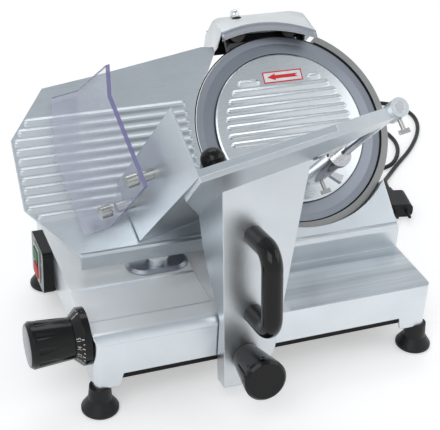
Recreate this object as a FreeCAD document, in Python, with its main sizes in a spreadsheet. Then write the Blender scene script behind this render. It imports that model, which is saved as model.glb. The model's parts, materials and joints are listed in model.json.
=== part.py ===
import FreeCAD, Part

import math
import os
import re

import Sketcher
from FreeCAD import Vector

# A gravity-feed meat slicer, in millimetres.
# X runs to the right along the front skirt, Y to the back, Z up, and z = 0 is the table.
# The origin is the middle of the footprint of the whole machine, without its mains lead.

SIZES = {
    # Where the middle of the four feet lies in the part's own frame
    "centre_x": -18.2, "centre_y": -5.6,
    # Base casting
    "base_length": 425, "base_front": 141, "base_rear": 150, "skirt_height": 35,
    "notch_height": 52, "deck_height": 95, "wall": 5, "plan_radius": 8,
    "notch_left": 183, "notch_right": 178, "notch_slope": 4, "side_notch": 104,
    "box_top": 100, "box_right": 58, "crest_height": 105, "crest_front": 129,
    "crest_back": 108, "crest_foot": 94, "crest_round": 13, "band_low": 96,
    "band_high": 98, "band_back": 34, "rear_round": 6,
    "column": 26, "cover_boss_x": 180, "cover_boss_front": 75, "cover_boss_rear": 134,
    "cover_boss_radius": 7,
    # Motor tower
    "tower_left": 52, "step_front": 50, "step_height": 120, "step_round": 8,
    "ridge_front": -30, "ridge_front_height": 188, "ridge_rear": 86,
    "ridge_rear_height": 183, "ridge_round": 120, "tail_height": 124, "tail_round": 5,
    "motor_room": 26,
    # Blade plane: its centre from the middle of the feet, and its tilt from the level
    "blade_x": 108, "blade_y": 76, "blade_height": 219, "blade_tilt": 45,
    # Blade and what turns with it
    "blade_radius": 125, "blade_thickness": 3.5, "blade_bore": 20, "bevel_width": 9,
    "edge_thickness": 0.6, "hub_radius": 30, "hub_pulley_radius": 41,
    "pulley_front": 14, "belt_width": 10, "flange_width": 1.5, "flange_height": 2,
    "spindle_radius": 6, "spindle_bore": 3.6, "spindle_tail": 54,
    "blade_screw_pitch": 25, "blade_screw_radius": 2, "blade_screw_head": 3.8,
    "blade_screw_length": 9,
    "fit": 0.04, "gap": 0.4, "snug": 0.1,
    # Bearing housing in the back of the dish
    "bearing_radius": 14, "bearing_width": 8, "housing_radius": 19, "housing_tail": 52,
    "bearing_rear": 49, "bearing_front": 35,
    # Dish behind the blade
    "dish_radius": 112, "dish_wall": 4, "dish_front": 8, "dish_back": 34, "bulkhead": 36,
    # Cover plate over the blade
    "cover_radius": 100.8, "cover_back": 1.5, "cover_thickness": 2.3, "cover_rim": 6, "cover_edge": 1,
    "cover_ribs": 8, "rib_width": 7,
    "rib_height": 1.8, "cover_rib_pitch": 11.4, "cover_rib_low": -15.2, "cover_rib_reach": 87,
    "bare_left": -31, "bare_right": 42,
    "cover_hub_radius": 9, "bolt_radius": 3, "bolt_tail": 64,
    # Release knob behind the blade
    "release_radius": 14, "release_front": 56, "release_back": 82, "release_flutes": 6,
    "release_flute": 4,
    # Ring guard
    "guard_inner": 127, "guard_outer": 137, "guard_front": 3, "guard_back": 30,
    "guard_web": 4, "guard_start": -100, "guard_end": 61, "guard_clear": 0.5,
    # Motor
    "motor_drop": 72, "motor_radius": 42, "motor_wall": 4, "motor_length": 70,
    "motor_core": 30, "motor_core_length": 40, "motor_shaft": 4, "motor_pulley_radius": 12,
    "fan_radius": 34, "fan_width": 8, "belt_thickness": 3,
   
    # Feet
    "foot_pitch_x": 409.4, "foot_pitch_y": 265, "foot_radius": 22, "foot_top_radius": 12.5,
    "foot_rim": 5, "foot_waist": 14, "foot_waist_height": 17, "foot_stud": 4, "foot_stud_length": 14,
    # Gauge plate, in the blade plane
    "plate_thickness": 4, "plate_low": -126, "plate_right": -60, "plate_clear": 2.5,
    "plate_left": -357, "plate_crown_left": -308, "plate_crown": 90, "plate_side_high": 29,
    "plate_side_low": -58, "plate_foot_left": -301, "plate_neck": -92.5, "plate_ear_right": -78,
    "plate_ear_low": 112, "plate_ear_high": 120, "plate_ear_left": -94.5, "plate_ear_top": 122,
    "plate_back_left": -247, "plate_back": 98, "plate_rib_pitch": 11.9, "plate_rib_high": 48.6,
    "plate_ribs": 11, "plate_rib_right": -138, "plate_rib_inset": 11, "plate_rib_half": 3,
    "plate_rib_raise": 1.2,
    "gauge_travel": 21,
    # Bar, post and slide under the gauge plate
    "bar_left": 190, "bar_right": 36, "bar_height": 10, "bar_depth": 18, "stem_x": 97,
    "stem_y": 6, "stem_radius": 14.5, "flange_edge_z": 113,
    "gauge_screw_left": 180, "gauge_screw_right": 44, "gauge_screw_radius": 4.5,
    "gauge_screw_height": 5.5,
    "slide_height": 66, "slide_half_height": 10, "slide_left": 124, "slide_right": 72,
    "slide_front": 34, "slide_back": 18, "guide_radius": 5, "guide_spacing": 32,
    "guide_front": 90, "guide_back": 70, "lug": 8,
    "dust_length": 78, "dust_width": 44, "dust_height": 4.6, "dust_rim": 1.5, "dust_slope": 50,
    # Thickness dial
    "dial_y": -106, "dial_z": 88, "dial_shaft_radius": 5, "dial_radius": 33.5,
    "dial_disc": 9, "dial_cone": 18, "dial_neck": 25, "dial_grip": 27.5, "dial_length": 68,
    "dial_back": 1, "dial_hollow": 6, "dial_flutes": 10, "flute_radius": 6, "flute_depth": 2.2,
    "pinion_teeth": 10, "pinion_pitch_radius": 4, "tooth_reach": 0.7, "tooth_thickness": 1.0,
    "tooth_tip": 0.6, "pinion_width": 12, "pinion_core": 3.1, "rack_left": 101,
    "rack_width": 8, "rack_back": 3, "rack_front": 131, "rack_gap": 0.25, "rack_riser": 6,
    # Switch
    "switch_front": 52, "switch_back": 115, "switch_low": 40, "switch_high": 100,
    "switch_depth": 13.5, "switch_round": 6, "button_width": 20, "button_y": 85,
    "green_low": 71, "red_low": 49, "button_height": 18, "button_stand": 2.5,
    "button_depth": 9, "window_depth": 12.7,
    # Carriage rail
    "rail_y": -112, "rail_z": 66, "rail_radius": 7, "rail_left": 190, "rail_right": 162,
    "block_length": 60, "block_half_depth": 14, "block_half_height": 13, "bush_radius": 10,
    "bush_length": 20, "arm_x": -39, "arm_width": 26, "arm_low": 28, "arm_thickness": 12,
    "arm_front": 155, "arm_back": 147, "arm_high": 78, "neck_half": 7, "slot_end_left": 158,
    "slot_end_right": 130, "slot_half": 10, "sheet": 2, "cover_level": 41.5, "cover_lip": 13,
    "cover_screw_length": 14, "cover_screw_head": 3,
    # Leg of the carriage: its face leans back by leg_lean
    "leg_front": 170, "leg_foot": 25, "leg_lean": 8.9, "leg_left": -66.5,
    "leg_top": 305, "leg_top_right": 45, "leg_waist": -3.5, "leg_waist_height": 40,
    "leg_toe": -19, "leg_toe_round": 8, "leg_toe_bend": 10, "leg_wall": 5, "leg_depth": 90,
    "leg_heel": 21.5, "leg_heel_back": 23, "leg_heel_height": 24, "leg_throat": 14,
    "leg_throat_height": 82, "leg_elbow": 62.5, "leg_elbow_height": 143.5, "leg_crown": 80,
    "leg_crown_height": 192.5, "leg_peak_height": 200,
    "handle_x": -30, "handle_low": 90, "handle_high": 187, "handle_reach": 52,
    "handle_radius": 12, "handle_bend": 20, "handle_bolt": 4, "handle_bolt_grip": 18,
    "handle_bolt_head": 7, "handle_bolt_height": 5,
    "clamp_height": 36, "clamp_neck": 17, "clamp_cap": 25, "clamp_length": 60,
    "clamp_stand": 0.6, "clamp_reach": 19, "clamp_screw": 4, "clamp_flutes": 8,
    # Food tray: its own frame is turned in the blade plane by tray_turn
    "tray_x": -228.5, "tray_u": -115.4, "tray_turn": 10, "tray_front": 272,
    "tray_back": 4.5, "tray_floor": 163, "tray_wall": 74, "tray_sheet": 2, "tray_lip": 5.5,
    "carrier_thickness": 6, "carrier_hip": 5.6, "carrier_hip_k": 195, "carrier_tail": 65,
    "carrier_tail_k": 55, "carrier_rear_k": 60, "carrier_step_k": 202, "carrier_neck": 199,
    "carrier_neck_k": 220, "carrier_arm": 232, "carrier_arm_k": 246, "rim_width": 5,
    "rod_along": 238.7, "rod_height": 0.5, "rod_radius": 6,
    "rod_back": 10, "boss_radius": 11, "boss_back": 254, "boss_front": 276,
    "rod_flat": 1.2, "rod_flat_back": 120, "rod_flat_front": 240,
    # Food pusher on its rod
    "sleeve_radius": 12, "sleeve_inner": 9, "sleeve_back": 24, "sleeve_front": 110,
    "sleeve_ring": 14.5, "pusher_plate": 4, "pusher_left": 28, "pusher_right": 222,
    "pusher_low": 7, "pusher_high": 34, "pusher_round": 10, "pusher_teeth": 11, "teeth_inset": 12,
    "tooth_point": 0.6, "pusher_handle_along": 48, "pusher_handle_height": 24, "knob_thread": 14,
    "pusher_stem": 4.5, "knob_neck_k": 182, "knob_centre_k": 204, "knob_radius": 14,
    "knob_neck": 8, "tooth_length": 7, "tooth_base": 3, "teeth_pitch": 14, "rest_foot": 24,
    "thumb_radius": 2.5, "thumb_head": 7, "thumb_length": 12, "thumb_wing": 2.5,
    "thumb_wing_height": 5,
    # Clear guard on the tray
    "shield_thickness": 5, "shield_front_k": 150, "shield_back_k": 10,
    "shield_front_off": 12, "shield_back_off": 26, "shield_front_low": 30,
    "shield_back_low": 24, "shield_front_bend": 139, "shield_back_bend": 127,
    "shield_front_top": 174, "shield_back_top": 197, "shield_lean": 23, "shield_strip": 31,
    "spacer_radius": 6.5, "spacer_front_height": 43, "spacer_front_k": 143,
    "spacer_back_height": 39, "spacer_back_k": 38, "nut_radius": 7.5, "nut_length": 13,
    # Sharpener over the blade
    "hood_front": 22, "hood_back": -14, "hood_left": -71, "hood_right": 59,
    "hood_low": 112, "hood_mid": 126, "hood_high": 134, "hood_crown": 138, "hood_arch": 150,
    "cheek_back": 8, "cheek_rise": 18,
    "hood_back_high": 164, "hood_wall": 3, "post_x": -5, "post_radius": 7,
    "post_k": -41, "post_low": 64, "lug_low": 60, "lug_half": 13,
    "body_low": 129, "body_high": 146, "body_half": 48, "body_back": -36, "body_front": -17,
    "post_block": 12, "post_block_back": -50,
    "stone_radius": 10, "stone_thickness": 8, "stone_left": -38, "stone_right": 36,
    "stone_u": 137.5, "stone_front": -4, "stone_shaft": 4, "stone_tip": 2, "push_radius": 8,
    "push_length": 12, "push_travel": 4,
    "lift_knob_radius": 11, "lift_knob_height": 14, "lift_knob_x": -36, "lift_knob_k": -6,
    "lift_knob_u": 155, "lift_boss": 5, "lift_stud": 3,
    # Slice deflector behind the blade
    "deflector_left": 60, "deflector_sheet": 1.5, "deflector_top_y": 88.5, "deflector_top_z": 192,
    "deflector_bend_y": 72.4, "deflector_bend_z": 172.4, "deflector_hollow_y": 75.6,
    "deflector_hollow_z": 141.4, "deflector_ramp_y": 95.2, "deflector_ramp_z": 114.6,
    "deflector_end_y": 133.6, "deflector_end_z": 102.5,
    # Mains lead
    "gland_x": 160, "gland_z": 62, "gland_radius": 8, "gland_flange": 3, "gland_boot": 30,
    "cord_radius": 3.5, "arc_share": 0.45,
    "coil_x": 233, "coil_y": 314, "coil_level": 3.6, "coil_radius": 44, "coil_pitch": 7.6,
    "coil_turns_in": 3, "climb_slope": 0.12,
    "plug_x": 371, "plug_y": 220, "plug_level": 11, "plug_turn": -12, "plug_width": 40,
    "plug_thickness": 21.6, "plug_round": 8, "plug_length": 44, "plug_boot": 20,
    "plug_boot_root": 7.5, "plug_boot_tip": 5.5, "plug_pin": 2.4, "plug_pin_pitch": 19,
    "plug_pin_length": 19,
}

# Where the mains lead runs, chosen by hand: from the gland down to the coil, and from the coil
# round two loops on the table to the plug. Both ends of the coil come from its own sizes.
LEAD_DOWN = [(178.2, 185.6, 62), (178.2, 213, 62), (182, 241, 44), (187, 258, 18), (189, 285, 3.6),
             (189, 307, 3.6)]
LEAD_ROUND = [(247.6, 358, 11.2), (272, 358, 11.2), (308, 347, 5), (343, 323, 3.6), (375, 296, 3.6),
              (415, 297, 3.6), (444, 324, 3.6), (466, 363, 3.6), (470, 404, 3.6), (461, 446, 3.6),
              (455, 488, 3.6), (471, 513.5, 3.6), (499, 523, 3.6), (527, 513, 3.6), (544, 488, 3.6),
              (548, 450, 3.6), (527, 401, 3.6), (482, 346, 3.6), (434, 304, 3.6), (396, 268, 3.6),
              (376.1, 244, 11), (371, 220, 11)]

# The three frames that pieces are built in: the base, the blade plane and the tray.
# In the blade frame x is X, y climbs in the blade's plane and z points out at the operator.
BASE = "placement(vector(-centre_x; -centre_y; 0); rotation(0; 0; 0))"
BLADE = (BASE + " * placement(vector(blade_x; blade_y; blade_height);"
         " rotation(vector(1; 0; 0); 90 - blade_tilt))")
TRAY = (BLADE + " * placement(vector(tray_x; tray_u; 0);"
        " rotation(vector(0; 0; 1); tray_turn))")
LEG = (BASE + " * placement(vector(0; -leg_front; leg_foot);"
       " rotation(vector(1; 0; 0); -leg_lean))")
TO_LEFT = "rotation(vector(0; 1; 0); -90)"
TO_RIGHT = "rotation(vector(0; 1; 0); 90)"
TO_FRONT = "rotation(vector(1; 0; 0); 90)"
TO_BACK = "rotation(vector(1; 0; 0); -90)"

doc = FreeCAD.newDocument("Slicer")
sheet = doc.addObject("Spreadsheet::Sheet", "Sizes")
for row, (name, number) in enumerate(SIZES.items(), 1):
    sheet.set(f"A{row}", name)
    sheet.set(f"B{row}", str(number))
    sheet.setAlias(f"B{row}", name)
doc.recompute()

nodes = []


def bound(text):
    """An expression on the sheet, from one written with the plain names of its sizes."""
    return re.sub(r"[a-z]\w*", lambda m: "Sizes." + m[0] if m[0] in SIZES else m[0], str(text))


def amount(text):
    """The number that an expression has now."""
    return float(sheet.evalExpression(bound(text)))


def at(frame, x="0", y="0", z="0", turn="rotation(0; 0; 0)"):
    """The frame moved to a point of its own and turned there."""
    return f"{frame} * placement(vector({x}; {y}; {z}); {turn})"


def place(thing, frame):
    thing.setExpression("Placement", bound(frame))


def keep(thing, label):
    """Name a finished sub-part, which makes it a node."""
    thing.Label = label
    nodes.append(thing)
    return thing


def body(name, frame=BASE):
    made = doc.addObject("PartDesign::Body", name)
    place(made, frame)
    return made


def circle(x, y, radius):
    return ("circle", x, y, radius)


def slot(x0, x1, y, radius):
    """A slot along the sketch's first axis with round ends."""
    return [(x0, f"{y} - ({radius})"), (x1, f"{y} - ({radius})", radius), (f"{x1} + ({radius})", y, radius),
            (x1, f"{y} + ({radius})"), (x0, f"{y} + ({radius})", radius), (f"{x0} - ({radius})", y, radius)]


def rectangle(x0, y0, x1, y1, radius=None):
    """A rectangle, with round corners where a radius is given."""
    if radius is None:
        return [(x0, y0), (x1, y0), (x1, y1), (x0, y1)]
    r = radius
    return [(f"{x0} + {r}", y0), (f"{x1} - {r}", y0, r), (x1, f"{y0} + {r}"), (x1, f"{y1} - {r}", r),
            (f"{x1} - {r}", y1), (f"{x0} + {r}", y1, r), (x0, f"{y1} - {r}"), (x0, f"{y0} + {r}", r)]


def hold(drawing, index, point, x, y):
    """Bind one point of a sketch to two expressions."""
    for kind, text in (("DistanceX", x), ("DistanceY", y)):
        number = drawing.addConstraint(Sketcher.Constraint(kind, -1, 1, index, point, amount(text)))
        drawing.setExpression(f"Constraints[{number}]", bound(text))


def arc_between(a, b, radius):
    """The short arc from a to b: counter-clockwise for a positive radius."""
    chord = b - a
    side = Vector(-chord.y, chord.x, 0).normalize()
    rise = (radius ** 2 - (chord.Length / 2) ** 2) ** 0.5
    centre = (a + b) / 2 + side * (rise if radius > 0 else -rise)
    middle = centre - side * (abs(radius) if radius > 0 else -abs(radius))
    return Part.Arc(a, middle, b)


def draw_loop(drawing, corners):
    """Lines and arcs through the corners; a third value makes the stretch after it an arc."""
    first = drawing.GeometryCount
    count = len(corners)
    spots = [Vector(amount(corner[0]), amount(corner[1]), 0) for corner in corners]
    starts = []
    for i, corner in enumerate(corners):
        a, b = spots[i], spots[(i + 1) % count]
        if len(corner) == 3:
            radius = amount(corner[2])
            drawing.addGeometry(arc_between(a, b, radius))
            starts.append((1, 2) if radius > 0 else (2, 1))
            number = drawing.addConstraint(Sketcher.Constraint("Radius", first + i, abs(radius)))
            drawing.setExpression(f"Constraints[{number}]", bound(f"abs({corner[2]})"))
        else:
            drawing.addGeometry(Part.LineSegment(a, b))
            starts.append((1, 2))
    for i, corner in enumerate(corners):
        j = (i + 1) % count
        drawing.addConstraint(Sketcher.Constraint("Coincident", first + i, starts[i][1], first + j,
                                                  starts[j][0]))
        hold(drawing, first + i, starts[i][0], corner[0], corner[1])


def sketch(owner, plane, loops, shift="0"):
    """A sketch on one of the body's own planes, moved along the plane's normal by shift."""
    drawing = owner.newObject("Sketcher::SketchObject", owner.Name + "Sketch")
    base = next(item for item in owner.Origin.OriginFeatures if item.Role == plane + "_Plane")
    drawing.AttachmentSupport = [(base, "")]
    drawing.MapMode = "FlatFace"
    drawing.setExpression("AttachmentOffset.Base.z", bound(shift))
    for loop in loops:
        if loop[0] == "circle":
            _, x, y, radius = loop
            spot = Vector(amount(x), amount(y), 0)
            index = drawing.addGeometry(Part.Circle(spot, Vector(0, 0, 1), amount(radius)))
            hold(drawing, index, 3, x, y)
            number = drawing.addConstraint(Sketcher.Constraint("Radius", index, amount(radius)))
            drawing.setExpression(f"Constraints[{number}]", bound(radius))
        else:
            draw_loop(drawing, loop)
    return drawing


def feature(owner, kind, profile, backwards=False, middle=False, **sizes):
    """A pad, pocket, revolution or groove that must change the body's volume."""
    before = owner.Shape.Volume if owner.Tip else 0
    made = owner.newObject("PartDesign::" + kind, owner.Name + kind)
    made.Profile = profile
    made.Reversed = backwards
    if kind in ("Revolution", "Groove"):
        made.ReferenceAxis = (profile, ["V_Axis"])
    made.Midplane = middle
    for name, text in sizes.items():
        made.setExpression(name, bound(text))
    doc.recompute()
    change = owner.Shape.Volume - before
    grows = kind in ("Pad", "Revolution")
    if (change > 0) != grows:
        raise RuntimeError(f"{owner.Name}: {kind} changed the volume by {change:.1f}")
    return made


def pad(owner, plane, loops, length, shift="0", **options):
    return feature(owner, "Pad", sketch(owner, plane, loops, shift), Length=length, **options)


def pocket(owner, plane, loops, length, shift="0", **options):
    return feature(owner, "Pocket", sketch(owner, plane, loops, shift), Length=length, **options)


def turned(name, frame, profile, angle="360", label=""):
    """A body of revolution: the profile lists radius and height along the axis."""
    made = body(name, frame)
    feature(made, "Revolution", sketch(made, "XZ", [profile]), middle=True, Angle=angle)
    return keep(made, label) if label else made


def rod(name, frame, radius, length, label=""):
    """A plain round bar along the frame's own Z."""
    made = doc.addObject("Part::Cylinder", name)
    made.setExpression("Radius", bound(radius))
    made.setExpression("Height", bound(length))
    place(made, frame)
    return keep(made, label) if label else made


def block(name, frame, length, width, height):
    made = doc.addObject("Part::Box", name)
    made.setExpression("Length", bound(length))
    made.setExpression("Width", bound(width))
    made.setExpression("Height", bound(height))
    place(made, frame)
    return made


def join(name, things, kind="MultiFuse"):
    """Several pieces as one solid, or as one group of separate solids with kind Compound."""
    made = doc.addObject("Part::" + kind, name)
    if kind == "Compound":
        made.Links = things
    else:
        made.Shapes = things
    return made


def cut(name, base, tool):
    made = doc.addObject("Part::Cut", name)
    made.Base = base
    made.Tool = tool
    return made


def ring(radius, bore, start, length):
    """The profile of a plain tube for turned()."""
    end = f"{start} + {length}"
    return [(bore, start), (radius, start), (radius, end), (bore, end)]


def plan():
    """The base's outline seen from above."""
    return rectangle("-base_length / 2", "-base_front", "base_length / 2", "base_rear", "plan_radius")


def box_profile(inset):
    """The left box from the side: a round crest at the front, a band, and the flat top."""
    low = "notch_height + 2 * wall"
    return [(f"-base_front + {inset}", low), (f"base_rear - {inset}", low),
            (f"base_rear - {inset}", f"box_top - rear_round - {inset}"),
            (f"base_rear - rear_round - {inset}", f"box_top - {inset}"),
            (f"-band_back + 2 - {inset}", f"box_top - {inset}"),
            (f"-band_back - {inset}", f"band_high - {inset}"),
            (f"-crest_foot + {inset} / 2", f"band_low - {inset}"),
            (f"-crest_back - {inset} / 2", f"crest_height - {inset}"),
            (f"-crest_front + {inset} / 2", f"crest_height - {inset}", "crest_round"),
            (f"-base_front + {inset}", f"crest_height - crest_round - {inset} / 2")]


def tower_profile():
    """The tower over the motor from the side: a step, a long slope and a rounded ridge."""
    return [("-step_front", "deck_height - wall"), ("base_rear", "deck_height - wall"),
            ("base_rear", "tail_height - tail_round"), ("base_rear - tail_round", "tail_height"),
            ("ridge_rear", "ridge_rear_height", "ridge_round"), ("-ridge_front", "ridge_front_height"),
            ("-step_front + step_round", "step_height + step_round", "step_round"),
            ("-step_front", "step_height")]


def plane_point(up, out):
    """The y and z of a point of the blade's middle plane: up in the plane and out of it."""
    return (f"blade_y + ({up}) * sin(blade_tilt) - ({out}) * cos(blade_tilt)",
            f"blade_height + ({up}) * cos(blade_tilt) + ({out}) * sin(blade_tilt)")


def base_casting():
    """One aluminium casting: skirt, left box, motor tower, dish and the lugs inside."""
    shell = body("BaseShell")
    pad(shell, "XY", [plan()], "deck_height - skirt_height", shift="skirt_height")
    pad(shell, "YZ", [box_profile("0")], "base_length / 2 - box_right", shift="-base_length / 2")
    pad(shell, "YZ", [tower_profile()], "base_length / 2 - tower_left", shift="tower_left")
    outside = rectangle("-base_length", "-base_length", "base_length", "base_length")
    pocket(shell, "XY", [outside, plan()], "blade_height", backwards=True)
    hollow = [("-base_length / 2 + column", "-base_front + wall"),
              ("base_length / 2 - column", "-base_front + wall"),
              ("base_length / 2 - column", "-base_front + column"),
              ("base_length / 2 - wall", "-base_front + column"),
              ("base_length / 2 - wall", "base_rear - column"),
              ("base_length / 2 - column", "base_rear - column"),
              ("base_length / 2 - column", "base_rear - wall"),
              ("-base_length / 2 + column", "base_rear - wall"),
              ("-base_length / 2 + column", "base_rear - column"),
              ("-base_length / 2 + wall", "base_rear - column"),
              ("-base_length / 2 + wall", "-base_front + column"),
              ("-base_length / 2 + column", "-base_front + column")]
    pocket(shell, "XY", [hollow], "deck_height - wall - skirt_height", shift="skirt_height", backwards=True)
    pocket(shell, "YZ", [box_profile("wall")], "base_length / 2 - box_right - column - wall",
           shift="-base_length / 2 + column", backwards=True)
    motor_foot = plane_point("-motor_drop - motor_radius - motor_room", "-bulkhead")
    roof = [motor_foot,
            plane_point("-motor_drop + motor_radius + wall", "-bulkhead"),
            ("base_rear - tail_round - wall", "tail_height - wall"),
            ("base_rear - wall", "tail_height - wall - tail_round"),
            ("base_rear - wall", "deck_height - 2 * wall"),
            (motor_foot[0], "deck_height - 2 * wall")]
    pocket(shell, "YZ", [roof], "base_length / 2 - tower_left - 2 * wall",
           shift="tower_left + wall", backwards=True)
    ends = [("-notch_left + notch_slope", "notch_height"), ("-notch_left", "skirt_height - 1"),
            ("notch_right", "skirt_height - 1"), ("notch_right - notch_slope", "notch_height")]
    pocket(shell, "XZ", [ends], "2 * base_length", middle=True)
    sides = [("-side_notch + notch_slope", "notch_height"), ("-side_notch", "skirt_height - 1"),
             ("side_notch", "skirt_height - 1"), ("side_notch - notch_slope", "notch_height")]
    pocket(shell, "YZ", [sides], "2 * base_length", middle=True)
    under_roof = "deck_height - wall / 2 - rail_z + block_half_height"
    for x in ("-rail_left", "rail_right - lug"):
        lugs = rectangle(x, "-base_front + wall + 2 * sheet", f"{x} + lug", "rail_y + block_half_depth")
        pad(shell, "XY", [lugs], under_roof, shift="rail_z - block_half_height")
    for y, roof in (("-guide_front", "band_low"), ("guide_back", "box_top")):
        lugs = rectangle("-slide_left", y, "-slide_right", f"{y} + lug")
        pad(shell, "XY", [lugs], f"{roof} - wall / 2 - slide_height + slide_half_height",
            shift="slide_height - slide_half_height")
    window = rectangle("-rack_left - 1", "slide_height + slide_half_height", "-rack_left + rack_width + 1",
                       "dial_z - pinion_pitch_radius + 1")
    pocket(shell, "XZ", [window], "lug + 2", shift="guide_front + 1")
    bearing_lug = rectangle("-slide_right + 2", "dial_y - 9", "-slide_right + 2 + lug", "dial_y + 9")
    pad(shell, "XY", [bearing_lug], "band_low - wall / 2 - dial_z + 6", shift="dial_z - 6")
    bosses = [circle(x, y, "cover_boss_radius") for x in ("-cover_boss_x", "cover_boss_x")
              for y in ("-cover_boss_front", "cover_boss_rear")]
    pad(shell, "XY", bosses, "deck_height - wall / 2 - cover_level - sheet", shift="cover_level + sheet")
    screw_holes = [circle(x, y, "foot_stud / 2 + snug") for x in ("-cover_boss_x", "cover_boss_x")
                   for y in ("-cover_boss_front", "cover_boss_rear")]
    pocket(shell, "XY", screw_holes, "cover_screw_length + 1", shift="cover_level + sheet", backwards=True)
    studs = [circle(x, y, "foot_stud + snug") for x in ("-foot_pitch_x / 2", "foot_pitch_x / 2")
             for y in ("-foot_pitch_y / 2", "foot_pitch_y / 2")]
    pocket(shell, "XY", studs, "foot_stud_length + 2", shift="skirt_height", backwards=True)
    pocket(shell, "YZ", [circle("rail_y", "rail_z", "rail_radius + fit")],
           "rail_left + rail_right - lug", shift="-rail_left + lug / 2", backwards=True)
    guides = [circle(f"-(slide_left + slide_right) / 2 {side} guide_spacing / 2", "slide_height",
                     "guide_radius + fit") for side in "-+"]
    pocket(shell, "XZ", guides, "guide_front + guide_back", shift="guide_front - lug / 2")
    room = "(stem_radius + 1)"
    way = rectangle(f"-stem_x - {room}", f"-stem_y - {room}", f"-stem_x + {room}",
                    f"gauge_travel - stem_y + {room}", "stem_radius")
    pocket(shell, "XY", [way], "4 * wall", shift="deck_height - 2 * wall", backwards=True)
    pocket(shell, "YZ", [circle("dial_y", "dial_z", "dial_shaft_radius + fit")],
           "base_length / 2 - slide_right + 2 + lug / 2", shift="-base_length / 2", backwards=True)
    pocket(shell, "XZ", [circle("gland_x", "gland_z", "gland_radius + snug")], "2 * wall",
           shift="-base_rear - wall / 2", backwards=True)

    dish = body("Dish", BLADE)
    pad(dish, "XY", [circle("0", "0", "dish_radius")], "dish_back - dish_front", shift="-dish_back")
    pad(dish, "XY", [circle("0", "0", "housing_radius")], "housing_tail - dish_back + 1",
        shift="-housing_tail")
    post_lug = rectangle("post_x - lug_half", "lug_low", "post_x + lug_half", "dish_radius")
    pad(dish, "XY", [post_lug], "2 * post_radius + 4", shift="post_k - post_radius - 4")

    hole = body("GuardRoom", BLADE)
    pad(hole, "XY", [circle("0", "0", "guard_outer + guard_clear")], "base_front",
        shift="-dish_back + 2")
    inside = body("DishRoom", BLADE)
    pad(inside, "XY", [circle("0", "0", "dish_radius - dish_wall")], "dish_back",
        shift="-dish_back + dish_wall")
    pad(inside, "XY", [circle("0", "0", "bearing_radius + snug / 2")], "bearing_rear + 2",
        shift="-bearing_rear - snug")
    pad(inside, "XY", [circle("0", "0", "spindle_radius + gap + 2")], "housing_tail",
        shift="-housing_tail - 1")
    pad(inside, "XY", [circle("0", "-motor_drop", "motor_shaft + 1")], "2 * dish_wall",
        shift="-dish_back - 2 * dish_wall + 4")
    bore = rod("PostBore", at(BLADE, "post_x", "lug_low - 1", "post_k", TO_BACK),
               "post_radius + fit", "dish_radius")
    cleared = cut("ShellCleared", shell, hole)
    joined = join("ShellAndDish", [cleared, dish])
    opened = cut("ShellOpened", joined, inside)
    keep(cut("BaseCasting", opened, bore), "base_casting")


def feet():
    """Four bell-shaped feet with a stud each."""
    profile = [("0", "0"), ("foot_radius - 2", "0"), ("foot_radius", "2"), ("foot_radius", "foot_rim"),
               ("foot_waist", "foot_waist_height"), ("foot_top_radius", "skirt_height"),
               ("foot_stud", "skirt_height"), ("foot_stud", "skirt_height + foot_stud_length"),
               ("0", "skirt_height + foot_stud_length")]
    places = [(x, y) for x in ("-foot_pitch_x / 2", "foot_pitch_x / 2")
              for y in ("-foot_pitch_y / 2", "foot_pitch_y / 2")]
    group("feet", "Foot", [at(BASE, x, y) for x, y in places], profile)


def bottom_cover():
    """The black sheet under the base, with a slot for the carriage and lips all round."""
    cover = body("BottomCover")
    edge, corner = "(wall + snug)", "(column + snug)"
    outer = [(f"-base_length / 2 + {corner}", f"-base_front + {edge}"),
             (f"base_length / 2 - {corner}", f"-base_front + {edge}"),
             (f"base_length / 2 - {corner}", f"-base_front + {corner}"),
             (f"base_length / 2 - {edge}", f"-base_front + {corner}"),
             (f"base_length / 2 - {edge}", f"base_rear - {corner}"),
             (f"base_length / 2 - {corner}", f"base_rear - {corner}"),
             (f"base_length / 2 - {corner}", f"base_rear - {edge}"),
             (f"-base_length / 2 + {corner}", f"base_rear - {edge}"),
             (f"-base_length / 2 + {corner}", f"base_rear - {corner}"),
             (f"-base_length / 2 + {edge}", f"base_rear - {corner}"),
             (f"-base_length / 2 + {edge}", f"-base_front + {corner}"),
             (f"-base_length / 2 + {corner}", f"-base_front + {corner}")]
    way = rectangle("-slot_end_left", "rail_y - slot_half", "slot_end_right", "rail_y + slot_half")
    pad(cover, "XY", [outer, way], "sheet", shift="cover_level")
    left, right = f"-base_length / 2 + {corner}", f"base_length / 2 - {corner}"
    room = "gland_radius + 2 * gland_flange"
    lips = [rectangle(left, f"-base_front + {edge}", right, f"-base_front + {edge} + sheet"),
            rectangle(left, f"base_rear - {edge} - sheet", f"gland_x - ({room})", f"base_rear - {edge}"),
            rectangle(f"gland_x + {room}", f"base_rear - {edge} - sheet", right, f"base_rear - {edge}")]
    for x in (f"-base_length / 2 + {edge}", f"base_length / 2 - {edge} - sheet"):
        lips.append(rectangle(x, f"-base_front + {corner}", f"{x} + sheet", f"base_rear - {corner}"))
    pad(cover, "XY", lips, "cover_lip", shift="cover_level")
    spots = [(x, y) for x in ("-cover_boss_x", "cover_boss_x") for y in ("-cover_boss_front",
                                                                         "cover_boss_rear")]
    holes = [circle(x, y, "foot_stud / 2 + snug") for x, y in spots]
    pocket(cover, "XY", holes, "4 * sheet", shift="cover_level", middle=True)
    keep(cover, "bottom_cover")
    profile = [("0", "-cover_screw_head"), ("foot_stud", "-cover_screw_head"), ("foot_stud", "0"),
               ("foot_stud / 2", "0"), ("foot_stud / 2", "cover_screw_length"), ("0", "cover_screw_length")]
    group("cover_screws", "CoverScrew", [at(BASE, x, y, "cover_level") for x, y in spots], profile)


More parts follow.
